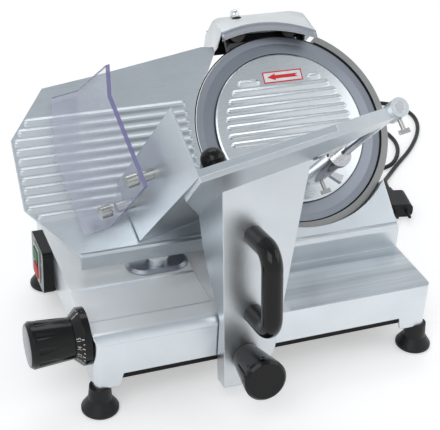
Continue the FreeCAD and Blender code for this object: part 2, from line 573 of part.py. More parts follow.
def group(label, name, frames, profile):
    """Several like pieces as one node: the same turned profile in each of the frames."""
    pieces = []
    for i, frame in enumerate(frames):
        piece = body(f"{name}{i}", frame)
        feature(piece, "Revolution", sketch(piece, "XZ", [profile]), middle=True, Angle="360")
        pieces.append(piece)
    return keep(join(name + "Group", pieces, "Compound"), label)


def around(count, radius, start=90):
    """The places of a ring of fasteners, as pairs of expressions."""
    return [(f"{radius} * cos({start} + 360 / {count} * {i})",
             f"{radius} * sin({start} + 360 / {count} * {i})")
            for i in range(count)]


def blade_group():
    """Blade, hub with its belt groove, hollow spindle, screws and the two bearings."""
    blade = [("blade_bore", "-blade_thickness"), ("blade_radius - bevel_width", "-blade_thickness"),
             ("blade_radius", "-edge_thickness"), ("blade_radius", "0"),
             ("blade_radius - bevel_width", "-edge_thickness"),
             ("cover_radius + 3", "0"), ("blade_bore", "0")]
    knife = body("Blade", BLADE)
    feature(knife, "Revolution", sketch(knife, "XZ", [blade]), middle=True, Angle="360")
    spots = around(3, "blade_screw_pitch")
    pocket(knife, "XY", [circle(x, y, "blade_screw_radius + snug") for x, y in spots], "20", middle=True)
    pocket(knife, "XY", [circle(x, y, "blade_screw_head + snug") for x, y in spots], "2")
    keep(knife, "blade")

    hub = body("BladeHub", BLADE)
    groove = "hub_pulley_radius - flange_height"
    top = "-pulley_front"
    low = "-pulley_front - belt_width"
    profile = [("spindle_radius + snug / 2", f"{low} - flange_width"),
               ("hub_pulley_radius", f"{low} - flange_width"), ("hub_pulley_radius", low),
               (groove, low), (groove, top), ("hub_pulley_radius", top),
               ("hub_pulley_radius", f"{top} + flange_width"), ("hub_radius", f"{top} + flange_width"),
               ("hub_radius", "-blade_thickness"), ("blade_bore - snug / 2", "-blade_thickness"),
               ("blade_bore - snug / 2", "0"), ("cover_hub_radius + 2 * gap", "0"),
               ("cover_hub_radius + 2 * gap", "-6"), ("spindle_radius + snug / 2", "-6")]
    feature(hub, "Revolution", sketch(hub, "XZ", [profile]), middle=True, Angle="360")
    pocket(hub, "XY", [circle(x, y, "blade_screw_radius + snug") for x, y in spots],
           "blade_screw_length", shift="-blade_thickness")
    keep(hub, "blade_hub")
    tip = "-blade_thickness - blade_screw_length + 1"
    countersunk = [("0", tip), ("blade_screw_radius", tip), ("blade_screw_radius", "-2"),
                   ("blade_screw_head", "-2"), ("blade_screw_head", "-0.1"), ("0", "-0.1")]
    group("blade_screws", "BladeScrew", [at(BLADE, x, y) for x, y in spots], countersunk)
    turned("Spindle", BLADE,
           ring("spindle_radius", "spindle_bore", "-spindle_tail", "spindle_tail - 6 - snug"),
           label="spindle")
    group("spindle_bearings", "Bearing", [at(BLADE, z="-bearing_rear"), at(BLADE, z="-bearing_front")],
          ring("bearing_radius", "spindle_radius + fit", "0", "bearing_width"))


def cover_plate():
    """The fixed ribbed plate over the blade's middle, its tie bolt and release knob."""
    plate = body("CoverPlate", BLADE)
    front = "cover_back + cover_thickness"
    raised = "cover_back - cover_edge"
    profile = [("0", "cover_back"), ("cover_radius - cover_rim - 2 * cover_edge", "cover_back"),
               ("cover_radius - cover_rim", raised), ("cover_radius - cover_edge", raised),
               ("cover_radius", "cover_back"), ("cover_radius", f"{front} - cover_edge"),
               ("cover_radius - cover_edge", front), ("0", front)]
    feature(plate, "Revolution", sketch(plate, "XZ", [profile]), middle=True, Angle="360")
    count = int(amount("cover_ribs"))
    for i in range(count):
        level = f"cover_rib_low + {i} * cover_rib_pitch"
        reach = f"sqrt(cover_rib_reach ^ 2 - ({level}) ^ 2) - rib_width / 2"
        stretches = [(f"-{reach}".replace("- rib", "+ rib"), reach)]
        if i == count - 1:
            stretches = [(stretches[0][0], "bare_left"), ("bare_right", reach)]
        for start, end in stretches:
            pad(plate, "XY", [slot(start, end, level, "rib_width / 2")], "rib_height", shift=front)
    pad(plate, "XY", [circle("0", "0", "cover_hub_radius")], "5", shift="cover_back - 5")
    pocket(plate, "XY", [circle("0", "0", "bolt_radius + fit")], "5.5", shift="cover_back - 5",
           backwards=True)
    keep(plate, "cover_plate")
    rod("TieBolt", at(BLADE, z="-bolt_tail"), "bolt_radius", "bolt_tail + cover_back - snug",
        label="tie_bolt")
    knob = body("ReleaseKnob", BLADE)
    pad(knob, "XY", [circle("0", "0", "release_radius")], "release_back - release_front",
        shift="-release_back")
    flutes = [circle(x, y, "release_flute")
              for x, y in around(int(amount("release_flutes")), "(release_radius + release_flute / 2)")]
    pocket(knob, "XY", flutes, "2 * release_back", middle=True)
    pocket(knob, "XY", [circle("0", "0", "bolt_radius + snug / 2")], "bolt_tail - release_front + snug",
           shift="-release_front")
    keep(knob, "release_knob")


def ring_guard():
    """The fixed ring round the blade's outer edge, from below to the sharpener."""
    sweep = "(guard_end - guard_start)"
    profile = [("dish_radius + snug / 2", "-guard_back"), ("guard_outer", "-guard_back"),
               ("guard_outer", "guard_front - 2"), ("guard_outer - 2", "guard_front"),
               ("guard_inner", "guard_front"), ("guard_inner", "-guard_back + guard_web"),
               ("dish_radius + snug / 2", "-guard_back + guard_web")]
    turned("RingGuard", at(BLADE, turn="rotation(vector(0; 0; 1); (guard_end + guard_start) / 2)"),
           profile, angle=sweep, label="ring_guard")


def drive():
    """Motor can, rotor with its shaft and fan, and the pulley."""
    front = "-bulkhead"
    axis = at(BLADE, y="-motor_drop")
    back = f"{front} - motor_length"
    can = [("motor_shaft + 1", back), ("motor_radius", back), ("motor_radius", front),
           ("motor_shaft + 1", front), ("motor_shaft + 1", f"{front} - motor_wall"),
           ("motor_radius - motor_wall", f"{front} - motor_wall"),
           ("motor_radius - motor_wall", f"{back} + motor_wall"), ("motor_shaft + 1", f"{back} + motor_wall")]
    turned("MotorCan", axis, can, label="motor_can")
    core_back = f"{back} + motor_wall + fan_width + 6"
    tip = "-pulley_front"
    rotor = [("0", f"{back} + 1"), ("motor_shaft", f"{back} + 1"),
             ("motor_shaft", f"{back} + motor_wall + 2"),
             ("fan_radius", f"{back} + motor_wall + 2"),
             ("fan_radius", f"{back} + motor_wall + 2 + fan_width"),
             ("motor_shaft", f"{back} + motor_wall + 2 + fan_width"), ("motor_shaft", core_back),
             ("motor_core", core_back), ("motor_core", f"{core_back} + motor_core_length"),
             ("motor_shaft", f"{core_back} + motor_core_length"), ("motor_shaft", tip), ("0", tip)]
    turned("MotorRotor", axis, rotor, label="motor_rotor")
    low = "-pulley_front - belt_width"
    pulley = [("motor_shaft + snug / 2", low), ("motor_pulley_radius + flange_height", low),
              ("motor_pulley_radius + flange_height", f"{low} + 0.6"),
              ("motor_pulley_radius", f"{low} + 0.6"),
              ("motor_pulley_radius", f"{tip} - 0.6"),
              ("motor_pulley_radius + flange_height", f"{tip} - 0.6"),
              ("motor_pulley_radius + flange_height", tip), ("motor_shaft + snug / 2", tip)]
    turned("MotorPulley", axis, pulley, label="motor_pulley")


def belt():
    """The flat belt round hub and motor pulley, as two tangent runs and two arcs."""
    big = amount("hub_pulley_radius - flange_height + gap")
    small = amount("motor_pulley_radius + gap")
    thickness = amount("belt_thickness")
    drop = amount("motor_drop")
    loops = []
    for extra in (0, thickness):
        lean = (big - small) / drop
        side = (1 - lean ** 2) ** 0.5
        r1, r2 = big + extra, small + extra
        right = [Vector(r1 * side, -r1 * lean, 0), Vector(r2 * side, -drop - r2 * lean, 0)]
        left = [Vector(-p.x, p.y, 0) for p in right]
        edges = [Part.Arc(right[0], Vector(0, r1, 0), left[0]).toShape(),
                 Part.LineSegment(left[0], left[1]).toShape(),
                 Part.Arc(left[1], Vector(0, -drop - r2, 0), right[1]).toShape(),
                 Part.LineSegment(right[1], right[0]).toShape()]
        loops.append(Part.Face(Part.Wire(Part.__sortEdges__(edges))))
    band = loops[1].cut(loops[0])
    width = amount("belt_width - 2 * gap - 1")
    band.translate(Vector(0, 0, -amount("pulley_front + belt_width - gap - 0.5")))
    made = doc.addObject("Part::Feature", "DriveBelt")
    made.Shape = band.extrude(Vector(0, 0, width))
    place(made, BLADE)
    keep(made, "drive_belt")


def gauge():
    """Gauge plate with its flange and ribs, the bar and post that carry it, and the slide."""
    plate = body("GaugePlate", BLADE)
    clear = "(blade_radius + plate_clear)"
    entry = "(plate_right - 2)"
    outline = [("plate_crown_left", "plate_crown"), ("plate_left", "plate_side_high"),
               ("plate_left", "plate_side_low"), ("plate_foot_left", "plate_low"),
               ("plate_right", "plate_low"),
               (entry, f"-sqrt({clear} ^ 2 - {entry} ^ 2)", f"-{clear}"), (f"-{clear}", "0", f"-{clear}"),
               ("plate_neck", f"sqrt({clear} ^ 2 - plate_neck ^ 2)"), ("plate_ear_right", "plate_ear_low"),
               ("plate_ear_right", "plate_ear_high"), ("plate_ear_left", "plate_ear_top"),
               ("plate_back_left", "plate_back")]
    pad(plate, "XY", [outline], "plate_thickness", shift="-plate_thickness")
    for i in range(int(amount("plate_ribs"))):
        level = f"plate_rib_high - {i} * plate_rib_pitch"
        height = amount(level)
        if height > amount("plate_side_high"):
            slope = "(plate_crown_left - plate_left) / (plate_crown - plate_side_high)"
            edge = f"plate_crown_left - (plate_crown - ({level})) * {slope}"
        elif height > amount("plate_side_low"):
            edge = "plate_left"
        else:
            slope = "(plate_left - plate_foot_left) / (plate_side_low - plate_low)"
            edge = f"plate_foot_left + (({level}) - plate_low) * {slope}"
        rib = slot(f"{edge} + plate_rib_inset", "plate_rib_right", level, "plate_rib_half")
        pad(plate, "XY", [rib], "plate_rib_raise")
    y, z = plane_point("plate_low", "0")
    lip = body("GaugeFlange")
    low = "flange_edge_z"
    ear = [(y, z), (y, low), (f"{y} + plate_thickness", low),
           (f"{y} + plate_thickness", f"{z} + plate_thickness"), (f"{y} + 2", f"{z} + 3")]
    pad(lip, "YZ", [ear], "plate_right - plate_foot_left", shift="blade_x + plate_foot_left")
    keep(join("GaugePlateAll", [plate, lip]), "gauge_plate")

    support = body("GaugeSupport")
    bar = rectangle("-bar_left", f"{y} + plate_thickness", "-bar_right", f"{y} + bar_depth")
    pad(support, "XY", [bar], "bar_height", shift="flange_edge_z - 1")
    foot = "slide_height + slide_half_height"
    stem = circle("-stem_x", "-stem_y", "stem_radius")
    pad(support, "XY", [stem], f"flange_edge_z - snug - ({foot})", shift=foot)
    keep(support, "gauge_support")
    head = [("0", "0"), ("gauge_screw_radius", "0"), ("gauge_screw_radius", "gauge_screw_height"),
            ("0", "gauge_screw_height")]
    group("gauge_screws", "GaugeScrew",
          [at(BASE, x, f"{y} + bar_depth", "flange_edge_z + bar_height / 2 - 1", TO_BACK)
           for x in ("-gauge_screw_left", "-gauge_screw_right")], head)

    slide = body("GaugeSlide")
    blockish = rectangle("-slide_left", "-slide_front", "-slide_right", "slide_back")
    pad(slide, "XY", [blockish], "2 * slide_half_height", shift="slide_height - slide_half_height")
    guides = [circle(f"-(slide_left + slide_right) / 2 {side} guide_spacing / 2", "slide_height",
                     "guide_radius + fit") for side in "-+"]
    pocket(slide, "XZ", guides, "4 * base_front", middle=True)
    keep(join("SlideAndRack", [slide, gauge_rack()]), "gauge_slide")
    bar = [("0", "0"), ("guide_radius", "0"), ("guide_radius", "guide_front + guide_back - 2 * snug"),
           ("0", "guide_front + guide_back - 2 * snug")]
    group("gauge_guides", "Guide", [at(BASE, f"-(slide_left + slide_right) / 2 {sign} guide_spacing / 2",
                                       "guide_back + lug / 2 - snug", "slide_height",
                                       TO_FRONT) for sign in "-+"], bar)

    cover = body("DustCover")
    reach = "(dust_length - dust_width) / 2"
    oval = slot(f"-stem_x - {reach}", f"-stem_x + {reach}", "-stem_y", "dust_width / 2")
    pad(cover, "XY", [oval], "dust_rim", shift="box_top + gap")
    pad(cover, "XY", [oval], "dust_height - dust_rim", shift="box_top + gap + dust_rim",
        TaperAngle="-dust_slope")
    pocket(cover, "XY", [circle("-stem_x", "-stem_y", "stem_radius + snug / 2")], "4 * dust_height",
           shift="box_top + gap", middle=True)
    keep(cover, "dust_cover")


def fluted(owner, count, radius, flute, depth, length, shift="0"):
    """Cut round flutes along a knob's side."""
    rings = [circle(x, y, flute) for x, y in around(count, f"({radius} + {flute} - {depth})", 0)]
    pocket(owner, "XY", rings, length, shift=shift)


def dial():
    """Thickness dial: disc with a sloped scale, fluted grip, shaft and pinion."""
    left = at(BASE, "-base_length / 2", "dial_y", "dial_z", TO_LEFT)
    disc = [("dial_shaft_radius + snug / 2", "dial_back"), ("dial_radius", "dial_back"),
            ("dial_radius", "dial_disc"), ("dial_neck", "dial_cone"),
            ("dial_shaft_radius + snug / 2", "dial_cone")]
    turned("DialScale", left, disc, label="dial_scale")
    grip = body("DialGrip", left)
    profile = [("dial_shaft_radius + snug / 2", "dial_cone"), ("dial_neck - 1", "dial_cone"),
               ("dial_grip - 3", "dial_cone + 6"), ("dial_grip", "dial_length - 4"),
               ("dial_grip - 3", "dial_length"), ("0", "dial_length + 1"), ("0", "dial_length - dial_hollow"),
               ("dial_shaft_radius + snug / 2", "dial_length - dial_hollow")]
    feature(grip, "Revolution", sketch(grip, "XZ", [profile]), middle=True, Angle="360")
    fluted(grip, int(amount("dial_flutes")), "dial_grip", "flute_radius", "flute_depth",
           "dial_length - 8 - dial_cone - 6", shift="dial_length - 8")
    keep(grip, "dial_knob")
    keep(join("ShaftAndPinion", [dial_shaft(left), pinion()]), "dial_shaft")


def dial_shaft(left):
    """The shaft steps down to the pinion's core where the rack passes over it."""
    inner = "-(base_length / 2 - slide_right + lug / 2)"
    start = "-(base_length / 2 - rack_left) - (rack_width + pinion_width) / 2"
    profile = [("0", inner), ("dial_shaft_radius", inner), ("dial_shaft_radius", f"{start} - 2"),
               ("pinion_core", f"{start} - 2"), ("pinion_core", f"{start} + pinion_width + 2"),
               ("dial_shaft_radius", f"{start} + pinion_width + 2"),
               ("dial_shaft_radius", "dial_length - dial_hollow - 0.5"),
               ("0", "dial_length - dial_hollow - 0.5")]
    return turned("DialShaft", left, profile)


def pinion():
    """Slim teeth on the dial's shaft: their pitch line rolls on the rack's."""
    made = body("Pinion",
                at(BASE, "-rack_left + rack_width / 2 + pinion_width / 2", "dial_y", "dial_z", TO_LEFT))
    root, tip = "(pinion_pitch_radius - tooth_reach)", "(pinion_pitch_radius + tooth_reach)"
    corners = []
    for i in range(int(amount("pinion_teeth"))):
        turn = f"(360 / pinion_teeth * {i})"
        for radius, half in ((root, "-tooth_thickness / 2"), (tip, "-tooth_tip / 2"), (tip, "tooth_tip / 2"),
                             (root, "tooth_thickness / 2")):
            corners.append((f"{radius} * cos({turn}) - ({half}) * sin({turn})",
                            f"{radius} * sin({turn}) + ({half}) * cos({turn})"))
    pad(made, "XY", [corners], "pinion_width")
    return made


def gauge_rack():
    """The toothed bar under the pinion, which grows out of the gauge slide."""
    rack = body("GaugeRack")
    pitch = "2 * pi * pinion_pitch_radius / pinion_teeth"
    line = "dial_z - pinion_pitch_radius"
    base_line = f"{line} - tooth_reach - rack_gap"
    bar = rectangle("-rack_front", f"{base_line} - rack_back", "-slide_front", base_line)
    pad(rack, "YZ", [bar], "rack_width", shift="-rack_left")
    count = 10
    for i in range(count):
        middle = f"dial_y + ({pitch}) * ({1.5 - i})"
        tip, root = f"{line} + tooth_reach - rack_gap", f"{base_line} - rack_gap"
        tooth = [(f"{middle} - tooth_thickness / 2", root), (f"{middle} + tooth_thickness / 2", root),
                 (f"{middle} + tooth_tip / 2", tip), (f"{middle} - tooth_tip / 2", tip)]
        pad(rack, "YZ", [tooth], "rack_width", shift="-rack_left")
    riser = rectangle("-slide_front", "slide_height", "-slide_front + rack_riser", base_line)
    pad(rack, "YZ", [riser], "rack_width", shift="-rack_left")
    return rack


def switch():
    """Black switch housing on the left side with a start and a stop button."""
    shell = body("SwitchHousing", at(BASE, "-base_length / 2", turn=TO_LEFT))
    face = rectangle("switch_low", "switch_front", "switch_high", "switch_back", "switch_round")
    pad(shell, "XY", [face], "switch_depth")
    window = rectangle("red_low - gap", "button_y - button_width / 2 - gap",
                       "green_low + button_height + gap", "button_y + button_width / 2 + gap")
    pocket(shell, "XY", [window], "window_depth", shift="switch_depth")
    keep(shell, "switch_housing")
    for label, low in (("stop_button", "red_low"), ("start_button", "green_low")):
        button = body("Button" + label[:2], at(BASE, "-base_length / 2", turn=TO_LEFT))
        cap = rectangle(low, "button_y - button_width / 2", f"{low} + button_height",
                        "button_y + button_width / 2", "2")
        pad(button, "XY", [cap], "button_depth", shift="switch_depth - button_depth + button_stand")
        keep(button, label)


def carriage_slide():
    """Rail, slide block with two bushes, and the arm that reaches forward under the skirt."""
    rod("RailRod", at(BASE, "-rail_left + lug / 2 + snug", "rail_y", "rail_z", TO_RIGHT), "rail_radius",
        "rail_left + rail_right - lug - 2 * snug", label="rail_rod")
    slide = body("SlideBlock")
    half = "block_length / 2"
    side = rectangle("rail_y - block_half_depth", "rail_z - block_half_height", "rail_y + block_half_depth",
                     "rail_z + block_half_height")
    pad(slide, "YZ", [side], "block_length", shift=f"arm_x - {half}")
    neck = rectangle("rail_y - neck_half", "arm_low", "rail_y + neck_half", "rail_z - block_half_height + 1")
    pad(slide, "YZ", [neck], "arm_width", shift="arm_x - arm_width / 2")
    reach = rectangle("-arm_front", "arm_low", "rail_y + neck_half", "arm_low + arm_thickness")
    pad(slide, "YZ", [reach], "arm_width", shift="arm_x - arm_width / 2")
    stand = rectangle("-arm_front", "arm_low", "-arm_back", "arm_high")
    pad(slide, "YZ", [stand], "arm_width", shift="arm_x - arm_width / 2")
    pocket(slide, "YZ", [circle("rail_y", "rail_z", "bush_radius + snug / 2")], "2 * block_length",
           shift="arm_x", middle=True)
    tapping = rod("ArmTapping", at(LEG, "arm_x", "-clamp_length", "clamp_height", TO_BACK),
                  "clamp_screw + fit",
                  "2 * clamp_length")
    keep(cut("SlideBlockTapped", slide, tapping), "slide_block")
    group("rail_bushes", "RailBush", [at(BASE, start, "rail_y", "rail_z", TO_RIGHT)
                                      for start in (f"arm_x - {half}", f"arm_x + {half} - bush_length")],
          ring("bush_radius", "rail_radius + fit", "0", "bush_length"))


def carriage_casting():
    """The hollow leg, the carrier under the tray floor, and the arm with the rod's boss."""
    leg = body("Leg", LEG)
    front = [("leg_left", "0"), ("leg_toe - leg_toe_round", "0", "leg_toe_bend"),
             ("leg_toe", "leg_toe_round"),
             ("leg_waist", "leg_waist_height"), ("leg_top_right", "leg_top"), ("leg_left", "leg_top")]
    pad(leg, "XZ", [front], "leg_depth", backwards=True)
    back = [("leg_heel", "-1"), ("leg_heel_back", "leg_heel_height"), ("leg_throat", "leg_throat_height"),
            ("leg_elbow", "leg_elbow_height"), ("leg_crown", "leg_crown_height"),
            ("leg_depth", "leg_peak_height"),
            ("leg_depth", "leg_top + 5"), ("2 * leg_depth", "leg_top + 5"), ("2 * leg_depth", "-1")]
    pocket(leg, "YZ", [back], "4 * leg_depth", middle=True)
    inner = [("leg_left + leg_wall", "-leg_depth"), ("leg_toe - leg_wall - leg_toe_round", "-leg_depth"),
             ("leg_toe - leg_wall", "leg_toe_round"), ("leg_waist - leg_wall", "leg_waist_height"),
             ("leg_top_right - leg_wall", "leg_top"), ("leg_left + leg_wall", "leg_top")]
    pocket(leg, "XZ", [inner], "2 * leg_depth", shift="-leg_wall")
    pocket(leg, "XZ", [circle("arm_x", "clamp_height", "clamp_screw + gap"),
                       circle("handle_x", "handle_low", "handle_bolt + snug / 2"),
                       circle("handle_x", "handle_high", "handle_bolt + snug / 2")], "4 * leg_depth",
                       middle=True)
    above = block("AboveFloor", at(TRAY, "-base_length / 2", "-tray_sheet", "-base_length / 2"),
                  "2 * base_length",
                  "base_length", "2 * base_length")
    trimmed = cut("LegTrimmed", leg, above)

    carrier = body("Carrier", TRAY)
    shape = [("0", "tray_front"), ("carrier_hip", "carrier_hip_k"), ("carrier_tail", "carrier_tail_k"),
             ("tray_floor - tray_sheet", "carrier_rear_k"), ("tray_floor - tray_sheet", "carrier_step_k"),
             ("carrier_neck", "carrier_neck_k"), ("carrier_arm", "carrier_arm_k"),
             ("rod_along + 2", "boss_back"), ("rod_along + 2", "tray_front")]
    pad(carrier, "XZ", [shape], "carrier_thickness", shift="tray_sheet")
    rim = [("tray_floor + snug", "tray_front"), ("tray_floor + snug", "tray_front - rim_width"),
           ("rod_along", "tray_front - rim_width"), ("rod_along", "tray_front")]
    pad(carrier, "XZ", [rim], "tray_sheet + tray_lip", shift="-tray_lip")
    pad(carrier, "XY", [circle("rod_along", "rod_height", "boss_radius")], "boss_front - boss_back",
        shift="boss_back")
    pocket(carrier, "XY", [circle("rod_along", "rod_height", "rod_radius + fit")], "boss_front",
           shift="boss_front + 1")
    thumb = "(boss_back + boss_front) / 2"
    pocket(carrier, "XZ", [circle("rod_along", thumb, "thumb_radius + fit")], "boss_radius + 2",
           shift="rod_radius / 2",
           backwards=True)
    keep(join("CarriageCasting", [trimmed, carrier]), "carriage_casting")
    thumb_screw("BossThumbscrew", at(TRAY, "rod_along", "rod_height", thumb, TO_FRONT), "rod_radius + snug",
                "boss_radius + thumb_length", "rod_thumbscrew")

    grip = body("Handle", LEG)
    path = grip.newObject("Sketcher::SketchObject", "HandlePath")
    path.AttachmentSupport = [(next(i for i in grip.Origin.OriginFeatures if i.Role == "YZ_Plane"), "")]
    path.MapMode = "FlatFace"
    path.setExpression("AttachmentOffset.Base.z", bound("handle_x"))
    bend, out = "handle_bend", "-handle_reach"
    spots = [("-snug / 2", "handle_low"), (f"{out} + {bend}", "handle_low"), (out, f"handle_low + {bend}"),
             (out, f"handle_high - {bend}"), (f"{out} + {bend}", "handle_high"), ("-snug / 2", "handle_high")]
    places = [Vector(amount(a), amount(b), 0) for a, b in spots]
    radius = amount(bend)
    for i in range(5):
        if i in (1, 3):
            path.addGeometry(arc_between(places[i], places[i + 1], -radius))
        else:
            path.addGeometry(Part.LineSegment(places[i], places[i + 1]))
    for i in range(5):
        start, end = (2, 1) if i in (1, 3) else (1, 2)
        hold(path, i, start, *spots[i])
        if i < 4:
            follower = 2 if i + 1 in (1, 3) else 1
            path.addConstraint(Sketcher.Constraint("Coincident", i, end, i + 1, follower))
        else:
            hold(path, i, end, *spots[5])
        if i in (1, 3):
            number = path.addConstraint(Sketcher.Constraint("Radius", i, radius))
            path.setExpression(f"Constraints[{number}]", bound(bend))
    tube = sketch(grip, "XZ", [circle("handle_x", "handle_low", "handle_radius")], shift="snug / 2")
    pipe = grip.newObject("PartDesign::AdditivePipe", "HandlePipe")
    pipe.Profile = tube
    pipe.Spine = path
    doc.recompute()
    pocket(grip, "XZ",
           [circle("handle_x", level, "handle_bolt + snug / 2") for level in ("handle_low", "handle_high")],
           "handle_bolt_grip + 1", shift="snug / 2 + handle_bolt_grip + 1")
    keep(grip, "carriage_handle")
    bolt = [("0", "-handle_bolt_grip"), ("handle_bolt", "-handle_bolt_grip"),
            ("handle_bolt", "leg_wall + snug"),
            ("handle_bolt_head", "leg_wall + snug"), ("handle_bolt_head", "leg_wall + handle_bolt_height"),
            ("0", "leg_wall + handle_bolt_height")]
    group("handle_bolts", "HandleBolt", [at(LEG, "handle_x", "0", level, TO_BACK)
                                         for level in ("handle_low", "handle_high")], bolt)


def clamp_knob():
    """The fluted knob that clamps the leg to the slide block's arm, and its screw."""
    frame = at(LEG, "arm_x", "0", "clamp_height", TO_FRONT)
    knob = body("ClampKnob", frame)
    profile = [("0", "-clamp_reach"), ("clamp_screw", "-clamp_reach"), ("clamp_screw", "clamp_stand"),
               ("clamp_neck", "clamp_stand"), ("clamp_cap", "clamp_length - 8"),
               ("clamp_cap", "clamp_length - 3"), ("clamp_cap - 3", "clamp_length"), ("0", "clamp_length")]
    feature(knob, "Revolution", sketch(knob, "XZ", [profile]), middle=True, Angle="360")
    fluted(knob, int(amount("clamp_flutes")), "clamp_cap", "flute_radius", "flute_depth + 1",
           "clamp_length", shift="clamp_length - 10")
    keep(knob, "clamp_knob")


def tray():
    """The bent tray sheet: floor, left wall and front lip."""
    pan = body("TraySheet", TRAY)
    section = [("0", "-tray_sheet"), ("tray_floor", "-tray_sheet"), ("tray_floor", "0"), ("tray_sheet", "0"),
               ("tray_sheet", "tray_wall"), ("0", "tray_wall")]
    pad(pan, "XY", [section], "tray_front - tray_back", shift="tray_back")
    lip = rectangle("tray_sheet / 2", "-tray_sheet / 2", "tray_floor", "tray_lip")
    pad(pan, "XY", [lip], "tray_sheet", shift="tray_front - tray_sheet")
    keep(pan, "product_tray")


def facet(points, push):
    """A flat plate through the given points, pushed out by a vector."""
    return Part.Face(Part.makePolygon(points + points[:1])).extrude(push)


def clear_guard():
    """The bent clear guard beside the tray wall, its two spacers and knurled nuts."""
    def spot(off, height, k):
        return Vector(-amount(off), amount(height), amount(k))
    a = spot("shield_front_off", "shield_front_low", "shield_front_k")
    b = spot("shield_back_off", "shield_back_low", "shield_back_k")
    c = spot("shield_back_off", "shield_back_bend", "shield_back_k")
    d = spot("shield_front_off", "shield_front_bend", "shield_front_k")
    e = c + Vector(amount("shield_lean"), amount("shield_back_top - shield_back_bend"), 0)
    along = amount("(shield_front_top - shield_front_bend) / (shield_back_top - shield_back_bend)")
    f = d + (e - c) * along
    push = Vector(-amount("shield_thickness"), 0, 0)
    strip = Vector(-amount("shield_strip + shield_thickness"), 0, 0)
    side = facet([a, b, c, d], push)
    top = facet([d, c, e, f], push)
    rear_push = Vector(0, 0, amount("shield_thickness"))
    rear = facet([b, c, c + strip, b + strip], rear_push)
    rear_top = facet([c, e, e + strip, c + strip], rear_push)
    made = doc.addObject("Part::Feature", "ClearGuard")
    made.Shape = side.fuse([top, rear, rear_top]).removeSplitter()
    place(made, TRAY)
    keep(made, "clear_guard")
    spacers, nuts = [], []
    for i, end in enumerate(("front", "back")):
        k = f"spacer_{end}_k"
        slope = "(shield_back_off - shield_front_off) / (shield_front_k - shield_back_k)"
        off = f"(shield_back_off - ({k} - shield_back_k) * {slope})"
        level = f"spacer_{end}_height"
        inner = rod(f"Spacer{end}", at(TRAY, "0", level, k, TO_LEFT), "spacer_radius", f"{off} - 0.9")
        spacers.append(inner)
        outer = rod(f"GuardNut{end}", at(TRAY, f"-{off} - shield_thickness - 0.9", level, k, TO_LEFT),
                    "nut_radius", "nut_length")
        nuts.append(outer)
    keep(join("GuardSpacers", spacers, "Compound"), "guard_spacers")
    keep(join("GuardNuts", nuts, "Compound"), "guard_nuts")


def thumb_screw(name, frame, start, end, label):
    """A screw with a winged head that points down, along the frame's own Z."""
    made = body(name, frame)
    pad(made, "XY", [circle("0", "0", "thumb_radius")], f"{end} - ({start})", shift=start)
    wing = rectangle("-thumb_head", "-thumb_wing / 2", "thumb_head", "thumb_wing / 2", "1")
    pad(made, "XY", [wing], "thumb_wing_height", shift=f"{end} - 1")
    keep(made, label)


